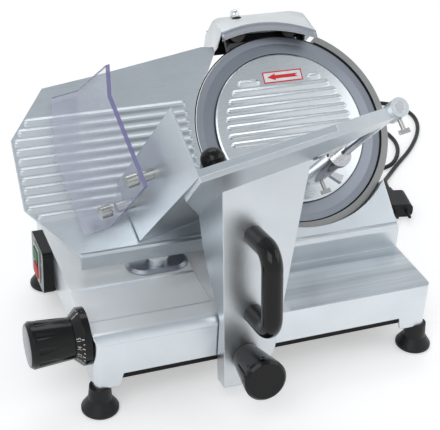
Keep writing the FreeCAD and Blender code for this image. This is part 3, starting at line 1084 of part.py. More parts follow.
def pusher():
    """Rod, bush, sleeve with its rest foot, toothed plate and ball knob."""
    axis = at(TRAY, "rod_along", "rod_height")
    bar = rod("PusherRod", at(axis, z="rod_back"), "rod_radius", "boss_front - rod_back")
    flat = block("RodFlat", at(axis, "-rod_radius", "rod_radius - rod_flat", "rod_flat_back"),
                 "2 * rod_radius",
                 "rod_radius", "rod_flat_front - rod_flat_back")
    keep(cut("PusherRodCut", bar, flat), "pusher_rod")
    turned("PusherBush", axis,
           ring("sleeve_inner", "rod_radius + fit", "sleeve_back", "sleeve_front - sleeve_back"),
           label="pusher_bush")
    sleeve = body("PusherSleeve", axis)
    bore = "sleeve_inner + fit"
    profile = [(bore, "sleeve_back"), ("sleeve_radius", "sleeve_back"), ("sleeve_radius", "sleeve_front - 9"),
               ("sleeve_ring", "sleeve_front - 7"), ("sleeve_ring", "sleeve_front"), (bore, "sleeve_front")]
    feature(sleeve, "Revolution", sketch(sleeve, "XZ", [profile]), middle=True, Angle="360")
    foot = [("sleeve_radius - 2", "-sleeve_radius + 6"), ("sleeve_radius - 6", "-sleeve_radius + 2"),
            ("rest_foot - 7", "-rest_foot"), ("rest_foot", "-rest_foot + 7")]
    pad(sleeve, "XY", [foot], "8", shift="sleeve_back + 20")
    plate_end, plate_top = "pusher_right - rod_along", "pusher_high - rod_height"
    ear = [("-sleeve_radius + 3", "6"), ("-4", "sleeve_radius - 2"), (f"{plate_end} - 3", f"{plate_top} - 4"),
           (f"{plate_end} - 14", f"{plate_top} - 8"), (f"{plate_end} - 12", "6")]
    pad(sleeve, "XY", [ear], "14", shift="sleeve_front - 14")
    thumb = "sleeve_back + 12"
    pocket(sleeve, "XZ", [circle("0", thumb, "thumb_radius + fit")], "2 * sleeve_radius", backwards=True)
    keep(sleeve, "pusher_sleeve")
    thumb_screw("SleeveThumbscrew", at(axis, z=thumb, turn=TO_FRONT), "sleeve_inner + snug",
                "sleeve_radius + thumb_length",
                "pusher_thumbscrew")

    plate = body("PusherPlate", TRAY)
    rounded = rectangle("pusher_left", "pusher_low", "pusher_right", "pusher_high", "pusher_round")
    pad(plate, "XY", [rounded], "pusher_plate", shift="sleeve_front + snug / 2")
    for row in range(int(amount("pusher_teeth"))):
        x = f"pusher_left + teeth_inset + teeth_pitch * {row}"
        peg = plate.newObject("PartDesign::AdditiveCone", f"Tooth{row}")
        peg.setExpression("Radius1", bound("tooth_point"))
        peg.setExpression("Radius2", bound("tooth_base"))
        peg.setExpression("Height", bound("tooth_length + 0.1"))
        peg.AttachmentSupport = [(next(i for i in plate.Origin.OriginFeatures if i.Role == "XY_Plane"), "")]
        peg.MapMode = "FlatFace"
        peg.setExpression("AttachmentOffset.Base.x", bound(x))
        peg.setExpression("AttachmentOffset.Base.y", bound("(pusher_low + pusher_high) / 2"))
        peg.setExpression("AttachmentOffset.Base.z", bound("sleeve_front + snug / 2 - tooth_length"))
    doc.recompute()
    stem_axis = at(TRAY, "pusher_handle_along", "pusher_handle_height")
    pad(plate, "XY", [circle("pusher_handle_along", "pusher_handle_height", "pusher_stem")],
        "knob_neck_k + knob_thread - sleeve_front", shift="sleeve_front + pusher_plate / 2")
    keep(plate, "pusher_plate")
    ball = [("pusher_stem + snug / 2", "knob_neck_k"), ("knob_neck", "knob_neck_k"),
            ("knob_neck + 2", "knob_neck_k + 10"), ("knob_radius", "knob_centre_k", "knob_radius"),
            ("0", "knob_centre_k + knob_radius"), ("0", "knob_neck_k + knob_thread + 4"),
            ("pusher_stem + snug / 2", "knob_neck_k + knob_thread + 4")]
    turned("PusherKnob", stem_axis, ball, label="pusher_knob")


def sharpener():
    """Hood, body and lifting post, with two stones, their push buttons and the lift knob."""
    hem = "hood_low - hood_wall"
    skin = [(hem, "hood_front"), (hem, "hood_front - hood_wall"),
            ("hood_high - hood_wall", "hood_front - hood_wall"),
            ("hood_back_high - hood_wall", "hood_back"), ("hood_back_high", "hood_back"),
            ("hood_crown", "hood_front")]
    made = body("HoodSkin", BLADE)
    pad(made, "YZ", [skin], "hood_right - hood_left", shift="hood_left")
    below = [("hood_left - 5", "lug_low"), ("hood_right + 5", "lug_low"), ("hood_right + 5", hem),
             ("hood_right", "hood_low - 1", "hood_arch"), ("0", "hood_mid", "hood_arch"),
             ("hood_left", "hood_low + 1"), ("hood_left - 5", "hood_low")]
    pocket(made, "XY", [below], "3 * hood_wall", shift="hood_front + 1")
    for x in ("hood_left", "hood_right - hood_wall"):
        cheek = [("hood_low + hood_wall", "hood_front - 1"),
                 ("hood_low + hood_wall", "hood_back + cheek_back"),
                 ("hood_low + cheek_rise", "hood_back"), ("hood_back_high - 1", "hood_back"),
                 ("hood_crown - 1", "hood_front - 1")]
        pad(made, "YZ", [cheek], "hood_wall", shift=x)
    rear = rectangle("hood_left", "body_high - 3", "hood_right", "hood_back_high - 1")
    pad(made, "XY", [rear], "hood_wall", shift="hood_back - hood_wall")
    pad(made, "XZ", [circle("lift_knob_x", "lift_knob_k", "lift_knob_radius + 1")], "lift_boss",
        shift="-(lift_knob_u - gap)")
    pocket(made, "XZ", [circle("lift_knob_x", "lift_knob_k", "lift_knob_radius + 1")], "hood_back_high",
           shift="-(lift_knob_u - gap)")
    pocket(made, "XZ", [circle("lift_knob_x", "lift_knob_k", "lift_stud + fit")], "2 * lift_boss",
           shift="-lift_knob_u", middle=True)
    keep(made, "sharpener_hood")

    core = body("SharpenerBody", BLADE)
    pad(core, "XY", [rectangle("-body_half", "body_low", "body_half", "body_high")], "body_front - body_back",
        shift="body_back")
    middle = rectangle("post_x - post_block", "body_low", "post_x + post_block", "body_high")
    pad(core, "XY", [middle], "body_front - post_block_back", shift="post_block_back")
    bores = [circle(x, "stone_u", "stone_shaft + fit") for x in ("stone_left", "stone_right")]
    pocket(core, "XY", bores, "4 * body_half", middle=True)
    post = rod("LiftPost", at(BLADE, "post_x", "post_low", "post_k", TO_BACK), "post_radius",
               "body_low + wall - post_low")
    keep(join("SharpenerCore", [core, post]), "sharpener_body")
    rear = "stone_front - stone_thickness"
    for side in ("left", "right"):
        axis = at(BLADE, f"stone_{side}", "stone_u")
        head = "body_back - push_travel - gap"
        shaft = [("0", f"{head} - push_length"), ("push_radius", f"{head} - push_length"),
                 ("push_radius", head),
                 ("stone_shaft", head), ("stone_shaft", f"{rear} - gap"), ("stone_tip", f"{rear} - gap"),
                 ("stone_tip", "stone_front + 2"), ("0", "stone_front + 2")]
        turned(f"Push{side}", axis, shaft, label=f"push_button_{side}")
        stone = ring("stone_radius", "stone_tip + fit", rear, "stone_thickness")
        turned(f"Stone{side}", axis, stone, label=f"sharpening_stone_{side}")
    profile = [("0", "-lift_boss + 2 * gap"), ("lift_stud", "-lift_boss + 2 * gap"), ("lift_stud", "0"),
               ("lift_knob_radius", "0"), ("lift_knob_radius", "lift_knob_height - 2"),
               ("lift_knob_radius - 2", "lift_knob_height"), ("0", "lift_knob_height")]
    turned("LiftKnob", at(BLADE, "lift_knob_x", "lift_knob_u", "lift_knob_k", TO_BACK), profile,
           label="sharpener_knob")


def moved_aside(points, by):
    """A bent line in the YZ plane moved sideways by one thickness, with mitred bends."""
    sides = [(b - a).normalize().cross(Vector(1, 0, 0)) * by for a, b in zip(points, points[1:])]
    moved = [points[0] + sides[0]]
    for corner, before, after in zip(points[1:], sides, sides[1:]):
        moved.append(corner + (before + after) * (by ** 2 / (by ** 2 + before.dot(after))))
    return moved + [points[-1] + sides[-1]]


def slice_deflector():
    """The bent sheet behind the blade that throws the slices down."""
    left, right = amount("-deflector_left"), amount("tower_left - snug")
    folds = [Vector(left, amount(f"deflector_{name}_y"), amount(f"deflector_{name}_z"))
             for name in ("top", "bend", "hollow", "ramp", "end")]
    outline = folds + moved_aside(folds, amount("-deflector_sheet"))[::-1]
    made = doc.addObject("Part::Feature", "Deflector")
    made.Shape = facet(outline, Vector(right - left, 0, 0))
    place(made, BASE)
    room = rod("DeflectorRoom", at(BLADE, z="-bulkhead - gap"), "dish_radius + gap", "2 * bulkhead")
    keep(cut("DeflectorTrimmed", made, room), "slice_deflector")


def gland():
    """The strain relief that holds the mains lead in the rear wall."""
    frame = at(BASE, "gland_x", "base_rear", "gland_z", TO_BACK)
    bore, tail = "cord_radius + snug", "gland_radius + gland_flange"
    profile = [(bore, "-wall - 4"), (tail, "-wall - 4"), (tail, "-wall - snug"),
               ("gland_radius", "-wall - snug"),
               ("gland_radius", "snug"), (tail, "snug"), (tail, "5"), ("cord_radius + 3", "8"),
               ("cord_radius + 1.5", "gland_boot"), ("0", "gland_boot"), ("0", "gland_boot - 2"),
               (bore, "gland_boot - 2")]
    turned("CordGland", frame, profile, label="cord_gland")


def arc_from(start, heading, end):
    """The arc from start to end that leaves along heading."""
    chord = end - start
    along = chord / chord.Length
    side = (heading - along * heading.dot(along)).normalize()
    rise = chord.Length / 2 * math.tan(heading.getAngle(chord) / 2)
    return Part.Arc(start, (start + end) / 2 + side * rise, end).toShape()


def two_arcs(start, heading, end, ending):
    """Two arcs that leave start along heading and reach end along ending."""
    way = end - start
    both = heading + ending
    spare = 2 * (1 - heading.dot(ending))
    reach = ((way.dot(both) ** 2 + spare * way.dot(way)) ** 0.5 - way.dot(both)) / spare
    middle = (start + end + (heading - ending) * reach) / 2
    chord = (middle - start).normalize()
    passing = chord * (2 * heading.dot(chord)) - heading
    return [arc_from(start, heading, middle), arc_from(middle, passing, end)]


def rounded_path(points):
    """Straight runs joined by tangent arcs, each as large as its two runs allow."""
    edges, radii = [], []
    start = points[0]
    for before, corner, after in zip(points, points[1:], points[2:]):
        reach = amount("arc_share") * min((before - corner).Length, (after - corner).Length)
        enter = corner + (before - corner).normalize() * reach
        leave = corner + (after - corner).normalize() * reach
        half_turn = (corner - before).getAngle(after - corner) / 2
        radii.append(round(reach / math.tan(half_turn), 1))
        edges.append(Part.LineSegment(start, enter).toShape())
        edges.append(arc_from(enter, (corner - before).normalize(), leave))
        start = leave
    edges.append(Part.LineSegment(start, points[-1]).toShape())
    print("radii of the lead's arcs:", radii)
    return edges


def coil_path():
    """Half turns that wind in, climb to the second layer and wind out, with straight ends."""
    pitch, end_run = amount("coil_pitch"), amount("2 * cord_radius")
    heading, across = Vector(0, 1, 0), Vector(1, 0, 0)
    spot = Vector(amount("coil_x - coil_radius"), amount("coil_y"), amount("coil_level"))
    edges = [Part.LineSegment(spot - heading * end_run, spot).toShape()]
    turns_in = int(amount("coil_turns_in"))
    radii = [amount("coil_radius") - i * pitch / 2 for i in range(turns_in + 1)]
    for i, radius in enumerate(radii + radii[-2:0:-1]):
        end = spot + across * 2 * radius
        if i == turns_in:
            end.z += pitch
            middle = (spot + end) / 2 + heading * radius
            climb = (across + Vector(0, 0, amount("climb_slope"))).normalize()
            edges += two_arcs(spot, heading, middle, climb) + two_arcs(middle, climb, end, -heading)
        else:
            edges.append(arc_from(spot, heading, end))
        spot, heading, across = end, -heading, -across
    end = spot + (across + heading) * radii[0]
    edges.append(arc_from(spot, heading, end))
    edges.append(Part.LineSegment(end, end + across * end_run).toShape())
    return edges


def tube(label, edges):
    """A round tube along the edges; its volume is compared with its section and length."""
    path = Part.Wire(edges)
    first = edges[0]
    heading = first.tangentAt(first.FirstParameter)
    radius = amount("cord_radius")
    section = Part.Wire(Part.Circle(first.Vertexes[0].Point, heading, radius).toShape())
    made = doc.addObject("Part::Feature", label.title().replace("_", ""))
    made.Shape = path.makePipeShell([section], True, False)
    share = made.Shape.Volume / (math.pi * radius ** 2 * path.Length)
    print(label, "length", round(path.Length, 1), "volume by section and length", round(share, 4))
    if abs(share - 1) > 0.01:
        raise RuntimeError(f"{label} isn't a clean tube")
    keep(made, label)
    return path


def least_gap(path):
    """The least gap between the coil's turns, measured on points along its middle line."""
    step = 1.5
    points = path.discretize(Distance=step)
    skip = int(amount("coil_radius") / step)
    nearest = min(a.distanceToPoint(b) for i, a in enumerate(points) for b in points[i + skip:])
    return nearest - amount("2 * cord_radius")


def lead():
    """The mains lead in three stretches, with its put-away length wound in a flat coil."""
    down = tube("cord_start", rounded_path([Vector(*point) for point in LEAD_DOWN]))
    coil = tube("cord_coil", coil_path())
    print("least gap between the coil's turns:", round(least_gap(coil), 2))
    away = tube("cord_lead", rounded_path([Vector(*point) for point in LEAD_ROUND]))
    print("whole lead:", round(down.Length + coil.Length + away.Length))


def plug():
    """The moulded mains plug, which lies flat on the table, with its boot and two pins."""
    tip = "placement(vector(plug_x; plug_y; plug_level); rotation(vector(0; 0; 1); plug_turn))"
    made = body("MainsPlug", at(tip, y="-plug_boot"))
    half = "plug_thickness / 2"
    section = rectangle("-plug_width / 2", f"-{half}", "plug_width / 2", half, "plug_round")
    pad(made, "XZ", [section], "plug_length")
    pad(made, "XZ", [circle("0", "0", "plug_boot_root")], "plug_boot", backwards=True,
        TaperAngle="-atan((plug_boot_root - plug_boot_tip) / plug_boot)")
    pins = [circle(f"{side} * plug_pin_pitch / 2", "0", "plug_pin") for side in (-1, 1)]
    pad(made, "XZ", pins, "plug_pin_length", shift="plug_length")
    keep(made, "mains_plug")


def write():
    """Check every object, then write one file for each node."""
    doc.recompute()
    for thing in doc.Objects:
        if {"Invalid", "Error"} & set(thing.State):
            raise RuntimeError(f"{thing.Label}: {thing.State}")
    os.makedirs("parts", exist_ok=True)
    for thing in nodes:
        if thing.Shape.isNull() or not thing.Shape.isValid() or thing.Shape.Volume <= 0:
            raise RuntimeError(f"{thing.Label} has no valid shape")
        thing.Shape.exportStep(f"parts/{thing.Label}.step")
        print(thing.Label, len(thing.Shape.Solids), round(thing.Shape.Volume / 1000, 2))
    whole = FreeCAD.BoundBox()
    for thing in nodes:
        whole.add(thing.Shape.BoundBox)
    print(whole)


base_casting()
feet()
bottom_cover()
blade_group()
cover_plate()
ring_guard()
drive()
belt()
gauge()
dial()
switch()
carriage_slide()
carriage_casting()
clamp_knob()
tray()
clear_guard()
pusher()
sharpener()
slice_deflector()
gland()
lead()
plug()
write()
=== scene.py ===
import json
import math

import bmesh
import bpy
from mathutils import Matrix, Vector


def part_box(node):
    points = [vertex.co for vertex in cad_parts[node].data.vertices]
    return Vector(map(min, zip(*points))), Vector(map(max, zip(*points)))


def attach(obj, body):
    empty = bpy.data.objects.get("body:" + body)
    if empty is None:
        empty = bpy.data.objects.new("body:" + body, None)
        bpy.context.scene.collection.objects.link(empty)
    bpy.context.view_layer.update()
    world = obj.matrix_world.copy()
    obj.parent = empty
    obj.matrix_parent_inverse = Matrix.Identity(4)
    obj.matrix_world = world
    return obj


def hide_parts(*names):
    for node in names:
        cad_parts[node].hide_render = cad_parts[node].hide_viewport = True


# A gravity-feed meat slicer, dressed for its picture. Places and sizes are written in millimetres and
# turned into Blender's metres with MM. The materials' own numbers are in metres.
MM = 0.001

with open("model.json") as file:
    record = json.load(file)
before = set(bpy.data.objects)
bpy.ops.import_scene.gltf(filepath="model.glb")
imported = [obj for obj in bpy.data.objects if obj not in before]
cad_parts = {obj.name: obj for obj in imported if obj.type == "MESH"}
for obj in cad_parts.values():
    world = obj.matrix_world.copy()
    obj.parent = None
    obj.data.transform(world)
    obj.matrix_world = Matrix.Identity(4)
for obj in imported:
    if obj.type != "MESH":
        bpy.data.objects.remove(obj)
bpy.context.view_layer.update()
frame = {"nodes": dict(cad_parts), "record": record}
nodes = frame["nodes"]

# Where the middle of the four feet lies in the part's frame
CENTRE = Vector((-18.2, -5.6, 0)) * MM


def base_point(x, y, z):
    """A point given from the middle of the feet."""
    return Vector((x, y, z)) * MM - CENTRE


# The blade's frame: its plane leans 45 degrees, with x along X, y climbing in the plane and z out to
# the operator.
BLADE = Matrix.Translation(base_point(108, 76, 219)) @ Matrix.Rotation(math.radians(45), 4, "X")
BLADE_TURN = BLADE.to_euler()


def blade_point(x, y, z):
    """A point given in the blade's frame."""
    return BLADE @ (Vector((x, y, z)) * MM)


# Camera: the photograph's place and angle
CAMERA = {"azimuth": -22.22, "elevation": 30.98, "roll": 3.01, "place": (-452.0, -1111.2, 876.1),
          "lens": 93.351, "sensor": 36, "far": 20}


def make_camera():
    azimuth, elevation, roll = (math.radians(CAMERA[key]) for key in ("azimuth", "elevation", "roll"))
    level = math.cos(elevation)
    forward = Vector((-math.sin(azimuth) * level, math.cos(azimuth) * level, -math.sin(elevation)))
    right = forward.cross(Vector((0, 0, 1))).normalized()
    up = right.cross(forward)
    side = math.cos(roll) * right + math.sin(roll) * up
    top = math.cos(roll) * up - math.sin(roll) * right
    turn = Matrix((side, top, -forward)).transposed().to_4x4()
    data = bpy.data.cameras.new("camera")
    data.lens = CAMERA["lens"]
    data.sensor_fit = "HORIZONTAL"
    data.sensor_width = CAMERA["sensor"]
    data.clip_end = CAMERA["far"]
    camera = bpy.data.objects.new("camera", data)
    camera.matrix_world = Matrix.Translation(Vector(CAMERA["place"]) * MM) @ turn
    bpy.context.scene.collection.objects.link(camera)
    bpy.context.scene.camera = camera


make_camera()

# Mains lead: one smooth line from the gland, through the put-away coil behind the base, and round two
# loops to the plug
LEAD_DOWN = [(178.2, 185.6, 62), (178.2, 213, 62), (182, 241, 44), (187, 258, 18), (189, 285, 3.6),
             (189, 307, 3.6)]
LEAD_ROUND = [(247.6, 358, 11.2), (272, 358, 11.2), (308, 347, 5), (343, 323, 3.6), (375, 296, 3.6),
              (415, 297, 3.6), (444, 324, 3.6), (466, 363, 3.6), (470, 404, 3.6), (461, 446, 3.6),
              (455, 488, 3.6), (471, 513.5, 3.6), (499, 523, 3.6), (527, 513, 3.6), (544, 488, 3.6),
              (548, 450, 3.6), (527, 401, 3.6), (482, 346, 3.6), (434, 304, 3.6), (396, 268, 3.6),
              (376.1, 244, 11), (371, 220, 11)]
COIL = {"x": 233, "y": 314, "level": 3.6, "radius": 44, "pitch": 7.6, "half_turns_in": 3, "steps": 8}
LEAD_DIAMETER = 7


def coil_points():
    """Control points of the coil: half turns that wind in, climb to the second layer and wind out."""
    steps = COIL["steps"]
    outward = 1 / math.cos(math.pi / (2 * steps))
    radii = [COIL["radius"] - i * COIL["pitch"] / 2 for i in range(COIL["half_turns_in"] + 1)]
    turns = radii + radii[-2:0:-1] + radii[:1]
    spot, side, level, points = COIL["x"] - COIL["radius"], 1, COIL["level"], []
    for i, radius in enumerate(turns):
        middle = spot + side * radius
        for k in range(steps if i < len(turns) - 1 else steps // 2):
            share = (k + 0.5) / steps
            angle = math.pi * share
            climb = COIL["pitch"] * share if i == COIL["half_turns_in"] else 0
            points.append((middle - side * radius * outward * math.cos(angle),
                           COIL["y"] + side * radius * outward * math.sin(angle), level + climb))
        if i == COIL["half_turns_in"]:
            level += COIL["pitch"]
        spot += 2 * side * radius
        side = -side
    return points


def make_lead():
    points = LEAD_DOWN + coil_points() + LEAD_ROUND
    data = bpy.data.curves.new("mains_lead", "CURVE")
    data.dimensions = "3D"
    # The points' radii carry the thickness, so that the curve's box fits the lead
    data.bevel_depth = 1
    data.bevel_resolution = 5
    data.resolution_u = 8
    data.use_fill_caps = True
    spline = data.splines.new("NURBS")
    spline.points.add(len(points) - 1)
    for place, point in zip(spline.points, points):
        place.co = (*(value * MM for value in point), 1)
        place.radius = LEAD_DIAMETER / 2 * MM
    spline.order_u = 3
    spline.use_endpoint_u = True
    lead = bpy.data.objects.new("mains_lead", data)
    bpy.context.scene.collection.objects.link(lead)
    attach(lead, "base")
    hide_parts("cord_start", "cord_coil", "cord_lead")
    return lead


mains_lead = make_lead()


# Materials. Every one is built from the same few steps, in the object's own coordinates.

class Shade:
    """One material under construction: a principled shader and the texture steps that feed it."""

    def __init__(self, name, colour, metallic=0.0, roughness=0.4, **sockets):
        self.material = bpy.data.materials.new(name)
        self.material.use_nodes = True
        self.tree = self.material.node_tree
        self.shader = self.tree.nodes["Principled BSDF"]
        self.set("Base Color", (*colour, 1))
        self.set("Metallic", metallic)
        self.set("Roughness", roughness)
        for socket, value in sockets.items():
            self.set(socket.replace("_", " "), value)
        self.colour, self.roughness = colour, roughness
        self.place = self.add("ShaderNodeTexCoord").outputs["Object"]
        self.painted = self.normal = None

    def set(self, socket, value):
        self.shader.inputs[socket].default_value = value

    def add(self, kind, **values):
        node = self.tree.nodes.new(kind)
        for key, value in values.items():
            setattr(node, key, value)
        return node

    def link(self, start, end):
        self.tree.links.new(start, end)

    def feed(self, start, socket):
        self.link(start, self.shader.inputs[socket])

    def compute(self, operation, *values):
        node = self.add("ShaderNodeMath", operation=operation)
        for value, socket in zip(values, node.inputs):
            self.link(value, socket)
        return node.outputs[0]

    def along(self, vector, direction):
        """How far a vector reaches in one fixed direction."""
        node = self.add("ShaderNodeVectorMath", operation="DOT_PRODUCT")
        self.link(vector, node.inputs[0])
        node.inputs[1].default_value = direction
        return node.outputs["Value"]

    def split(self, vector):
        node = self.add("ShaderNodeSeparateXYZ")
        self.link(vector, node.inputs[0])
        return node.outputs

    def join(self, **parts):
        node = self.add("ShaderNodeCombineXYZ")
        for axis, value in parts.items():
            self.link(value, node.inputs[axis])
        return node.outputs[0]

    def mix(self, factor, first, second):
        """A blend of two colours, of which the first may be the output of another step."""
        node = self.add("ShaderNodeMix", data_type="RGBA")
        self.link(factor, node.inputs["Factor"])
        if isinstance(first, tuple):
            node.inputs["A"].default_value = (*first, 1)
        else:
            self.link(first, node.inputs["A"])
        node.inputs["B"].default_value = (*second, 1)
        return node.outputs["Result"]

    def moved(self, location=(0, 0, 0), rotation=(0, 0, 0), scale=(1, 1, 1)):
        """The object's coordinates seen from another frame, then stretched."""
        seen = self.add("ShaderNodeMapping", vector_type="TEXTURE")
        self.link(self.place, seen.inputs["Vector"])
        seen.inputs["Location"].default_value = location
        seen.inputs["Rotation"].default_value = rotation
        stretched = self.add("ShaderNodeMapping", vector_type="POINT")
        self.link(seen.outputs[0], stretched.inputs["Vector"])
        stretched.inputs["Scale"].default_value = scale
        return stretched.outputs[0]

    def noise(self, vector, scale=1.0, detail=3.0, rough=0.55):
        node = self.add("ShaderNodeTexNoise")
        self.link(vector, node.inputs["Vector"])
        node.inputs["Scale"].default_value = scale
        node.inputs["Detail"].default_value = detail
        node.inputs["Roughness"].default_value = rough
        return node.outputs["Fac"]

    def spread(self, factor, low, high, start=0.3, end=0.7):
        """The range from start to end, stretched to the range from low to high."""
        node = self.add("ShaderNodeMapRange")
        self.link(factor, node.inputs["Value"])
        for socket, value in (("From Min", start), ("From Max", end), ("To Min", low), ("To Max", high)):
            node.inputs[socket].default_value = value
        return node.outputs["Result"]

    def vary_roughness(self, factor, by):
        self.feed(self.spread(factor, self.roughness - by, self.roughness + by), "Roughness")

    def vary_colour(self, factor, by):
        dark = tuple(max(part * (1 - by), 0) for part in self.colour)
        light = tuple(min(part * (1 + by), 1) for part in self.colour)
        self.paint(self.mix(self.spread(factor, 0, 1), dark, light))

    def paint(self, colour):
        self.painted = colour
        self.feed(colour, "Base Color")

    def soften(self, radius):
        """Edges catch the light as if they were rounded by this radius."""
        node = self.add("ShaderNodeBevel", samples=6)
        node.inputs["Radius"].default_value = radius
        self.normal = node.outputs["Normal"]
        self.feed(self.normal, "Normal")

    def bump(self, height, distance):
        node = self.add("ShaderNodeBump")
        self.link(height, node.inputs["Height"])
        node.inputs["Distance"].default_value = distance
        node.inputs["Strength"].default_value = 1.0
        if self.normal:
            self.link(self.normal, node.inputs["Normal"])
        self.normal = node.outputs["Normal"]
        self.feed(self.normal, "Normal")


def brushed(name, colour, roughness, along=0, grain=2600, turn=(0, 0, 0), edge=0.0006, depth=0.000004):
    """Metal with fine lines that run along one axis of a turned frame."""
    stretch = 90
    shade = Shade(name, colour, 1.0, roughness)
    shade.soften(edge)
    scale = [grain] * 3
    scale[along] = grain / stretch
    lines = shade.noise(shade.moved(rotation=turn, scale=scale), 1, 2)
    cloud = shade.noise(shade.place, 14, 4)
    shade.vary_roughness(lines, 0.04)
    shade.vary_colour(cloud, 0.05)
    shade.bump(lines, depth)
    return shade


def cast(name, colour, roughness, grit=1400, edge=0.0012, depth=0.00003):
    """Metal with a fine even grit and broad, faint clouds, as tumbled or blasted castings have."""
    shade = Shade(name, colour, 1.0, roughness)
    shade.soften(edge)
    fine = shade.noise(shade.place, grit, 2, 0.6)
    shade.vary_roughness(shade.noise(shade.place, 30, 4), 0.05)
    shade.vary_colour(shade.noise(shade.place, 9, 5), 0.06)
    shade.bump(fine, depth)
    return shade


def moulded(name, colour, roughness, grit=2200, depth=0.00001, edge=0.0006, **sockets):
    """Plastic, rubber or paint with a fine texture and a little unevenness in its gloss."""
    shade = Shade(name, colour, 0.0, roughness, **sockets)
    shade.soften(edge)
    shade.vary_roughness(shade.noise(shade.place, 60, 4), min(0.04, roughness / 3))
    shade.vary_colour(shade.noise(shade.place, 25, 3), 0.15)
    shade.bump(shade.noise(shade.place, grit, 2), depth)
    return shade


def ground_blade():
    """Fine rings round the blade's axle."""
    shade = Shade("blade steel", (0.29, 0.31, 0.35), 1.0, 0.36)
    shade.soften(0.0003)
    across = shade.split(shade.moved(BLADE.translation, BLADE_TURN))
    length = shade.add("ShaderNodeVectorMath", operation="LENGTH")
    shade.link(shade.join(X=across["X"], Y=across["Y"]), length.inputs[0])
    lines = shade.noise(shade.join(X=length.outputs["Value"]), 1500, 3)
    shade.vary_roughness(lines, 0.06)
    shade.vary_colour(shade.noise(shade.place, 20, 4), 0.05)
    shade.bump(lines, 0.000002)
    return shade


def main_normals(thing, count):
    """The directions that most of an object's surface faces, the largest first, one for each pair of
    sides."""
    areas = {}
    for face in thing.data.polygons:
        normal = face.normal if face.normal.y < 0 else -face.normal
        near = next((known for known in areas if Vector(known).dot(normal) > 0.98), tuple(normal))
        areas[near] = areas.get(near, 0) + face.area
    return sorted(areas, key=areas.get, reverse=True)[:count]


def clear_sheet(thing):
    """Clear bent sheet: nearly invisible across its panels, tinted along its cut edges."""
    shade = Shade("clear sheet", (0.93, 0.94, 0.99), 0.0, 0.04, IOR=1.45)
    surface = shade.add("ShaderNodeNewGeometry").outputs["True Normal"]
    sizes = [shade.compute("ABSOLUTE", shade.along(surface, normal)) for normal in main_normals(thing, 3)]
    panel = sizes[0]
    for size in sizes[1:]:
        panel = shade.compute("MAXIMUM", panel, size)
    # The edge nearest the operator faces as one of the panels does, so its place counts too
    out = BLADE.to_3x3().col[2]
    front = out.dot(BLADE.translation) + 0.1
    near = shade.spread(shade.along(shade.place, out), 0, 1, front, front + 0.001)
    toward = shade.compute("MULTIPLY", shade.spread(shade.along(surface, out), 0, 1, 0.9, 0.95), near)
    edge = shade.compute("MAXIMUM", shade.spread(panel, 1, 0, 0.9, 0.97), toward)
    shade.paint(shade.mix(edge, (0.70, 0.70, 0.86), (0.22, 0.20, 0.40)))
    faint = shade.spread(shade.noise(shade.place, 12, 3), 0.15, 0.19)
    shade.feed(shade.compute("MAXIMUM", faint, shade.spread(edge, 0, 0.9, 0, 1)), "Alpha")
    return shade


def casting(name, colour):
    """Blasted aluminium. Its level faces on the left box are painted paler and made less metallic:
    painted light, as if more light fell on them. Beside the box its level faces have long faint darker
    streaks, partly milling lines and partly painted shade."""
    box_end, past_box = 0.040, 0.046
    shade = cast(name, colour, 0.34)
    upright = shade.split(shade.add("ShaderNodeNewGeometry").outputs["Normal"])["Z"]
    level = shade.spread(upright, 0, 1, 0.9, 0.985)
    along = shade.split(shade.place)["X"]
    box = shade.compute("MULTIPLY", level, shade.spread(along, 1, 0, box_end, past_box))
    beside = shade.compute("MULTIPLY", level, shade.spread(along, 0, 1, box_end, past_box))
    streaks = shade.noise(shade.moved(scale=(3, 90, 90)), 1, 4)
    depth = shade.compute("MULTIPLY", beside, shade.spread(streaks, 0.35, 1, 0.35, 0.65))
    # Painted light on the box's level faces, then painted shade in streaks on the level faces beside it
    shade.paint(shade.mix(box, shade.painted, (0.82, 0.84, 0.855)))
    shade.paint(shade.mix(depth, shade.painted, (0.43, 0.465, 0.49)))
    shade.feed(shade.spread(box, 1, 0.25, 0, 1), "Metallic")
    return shade


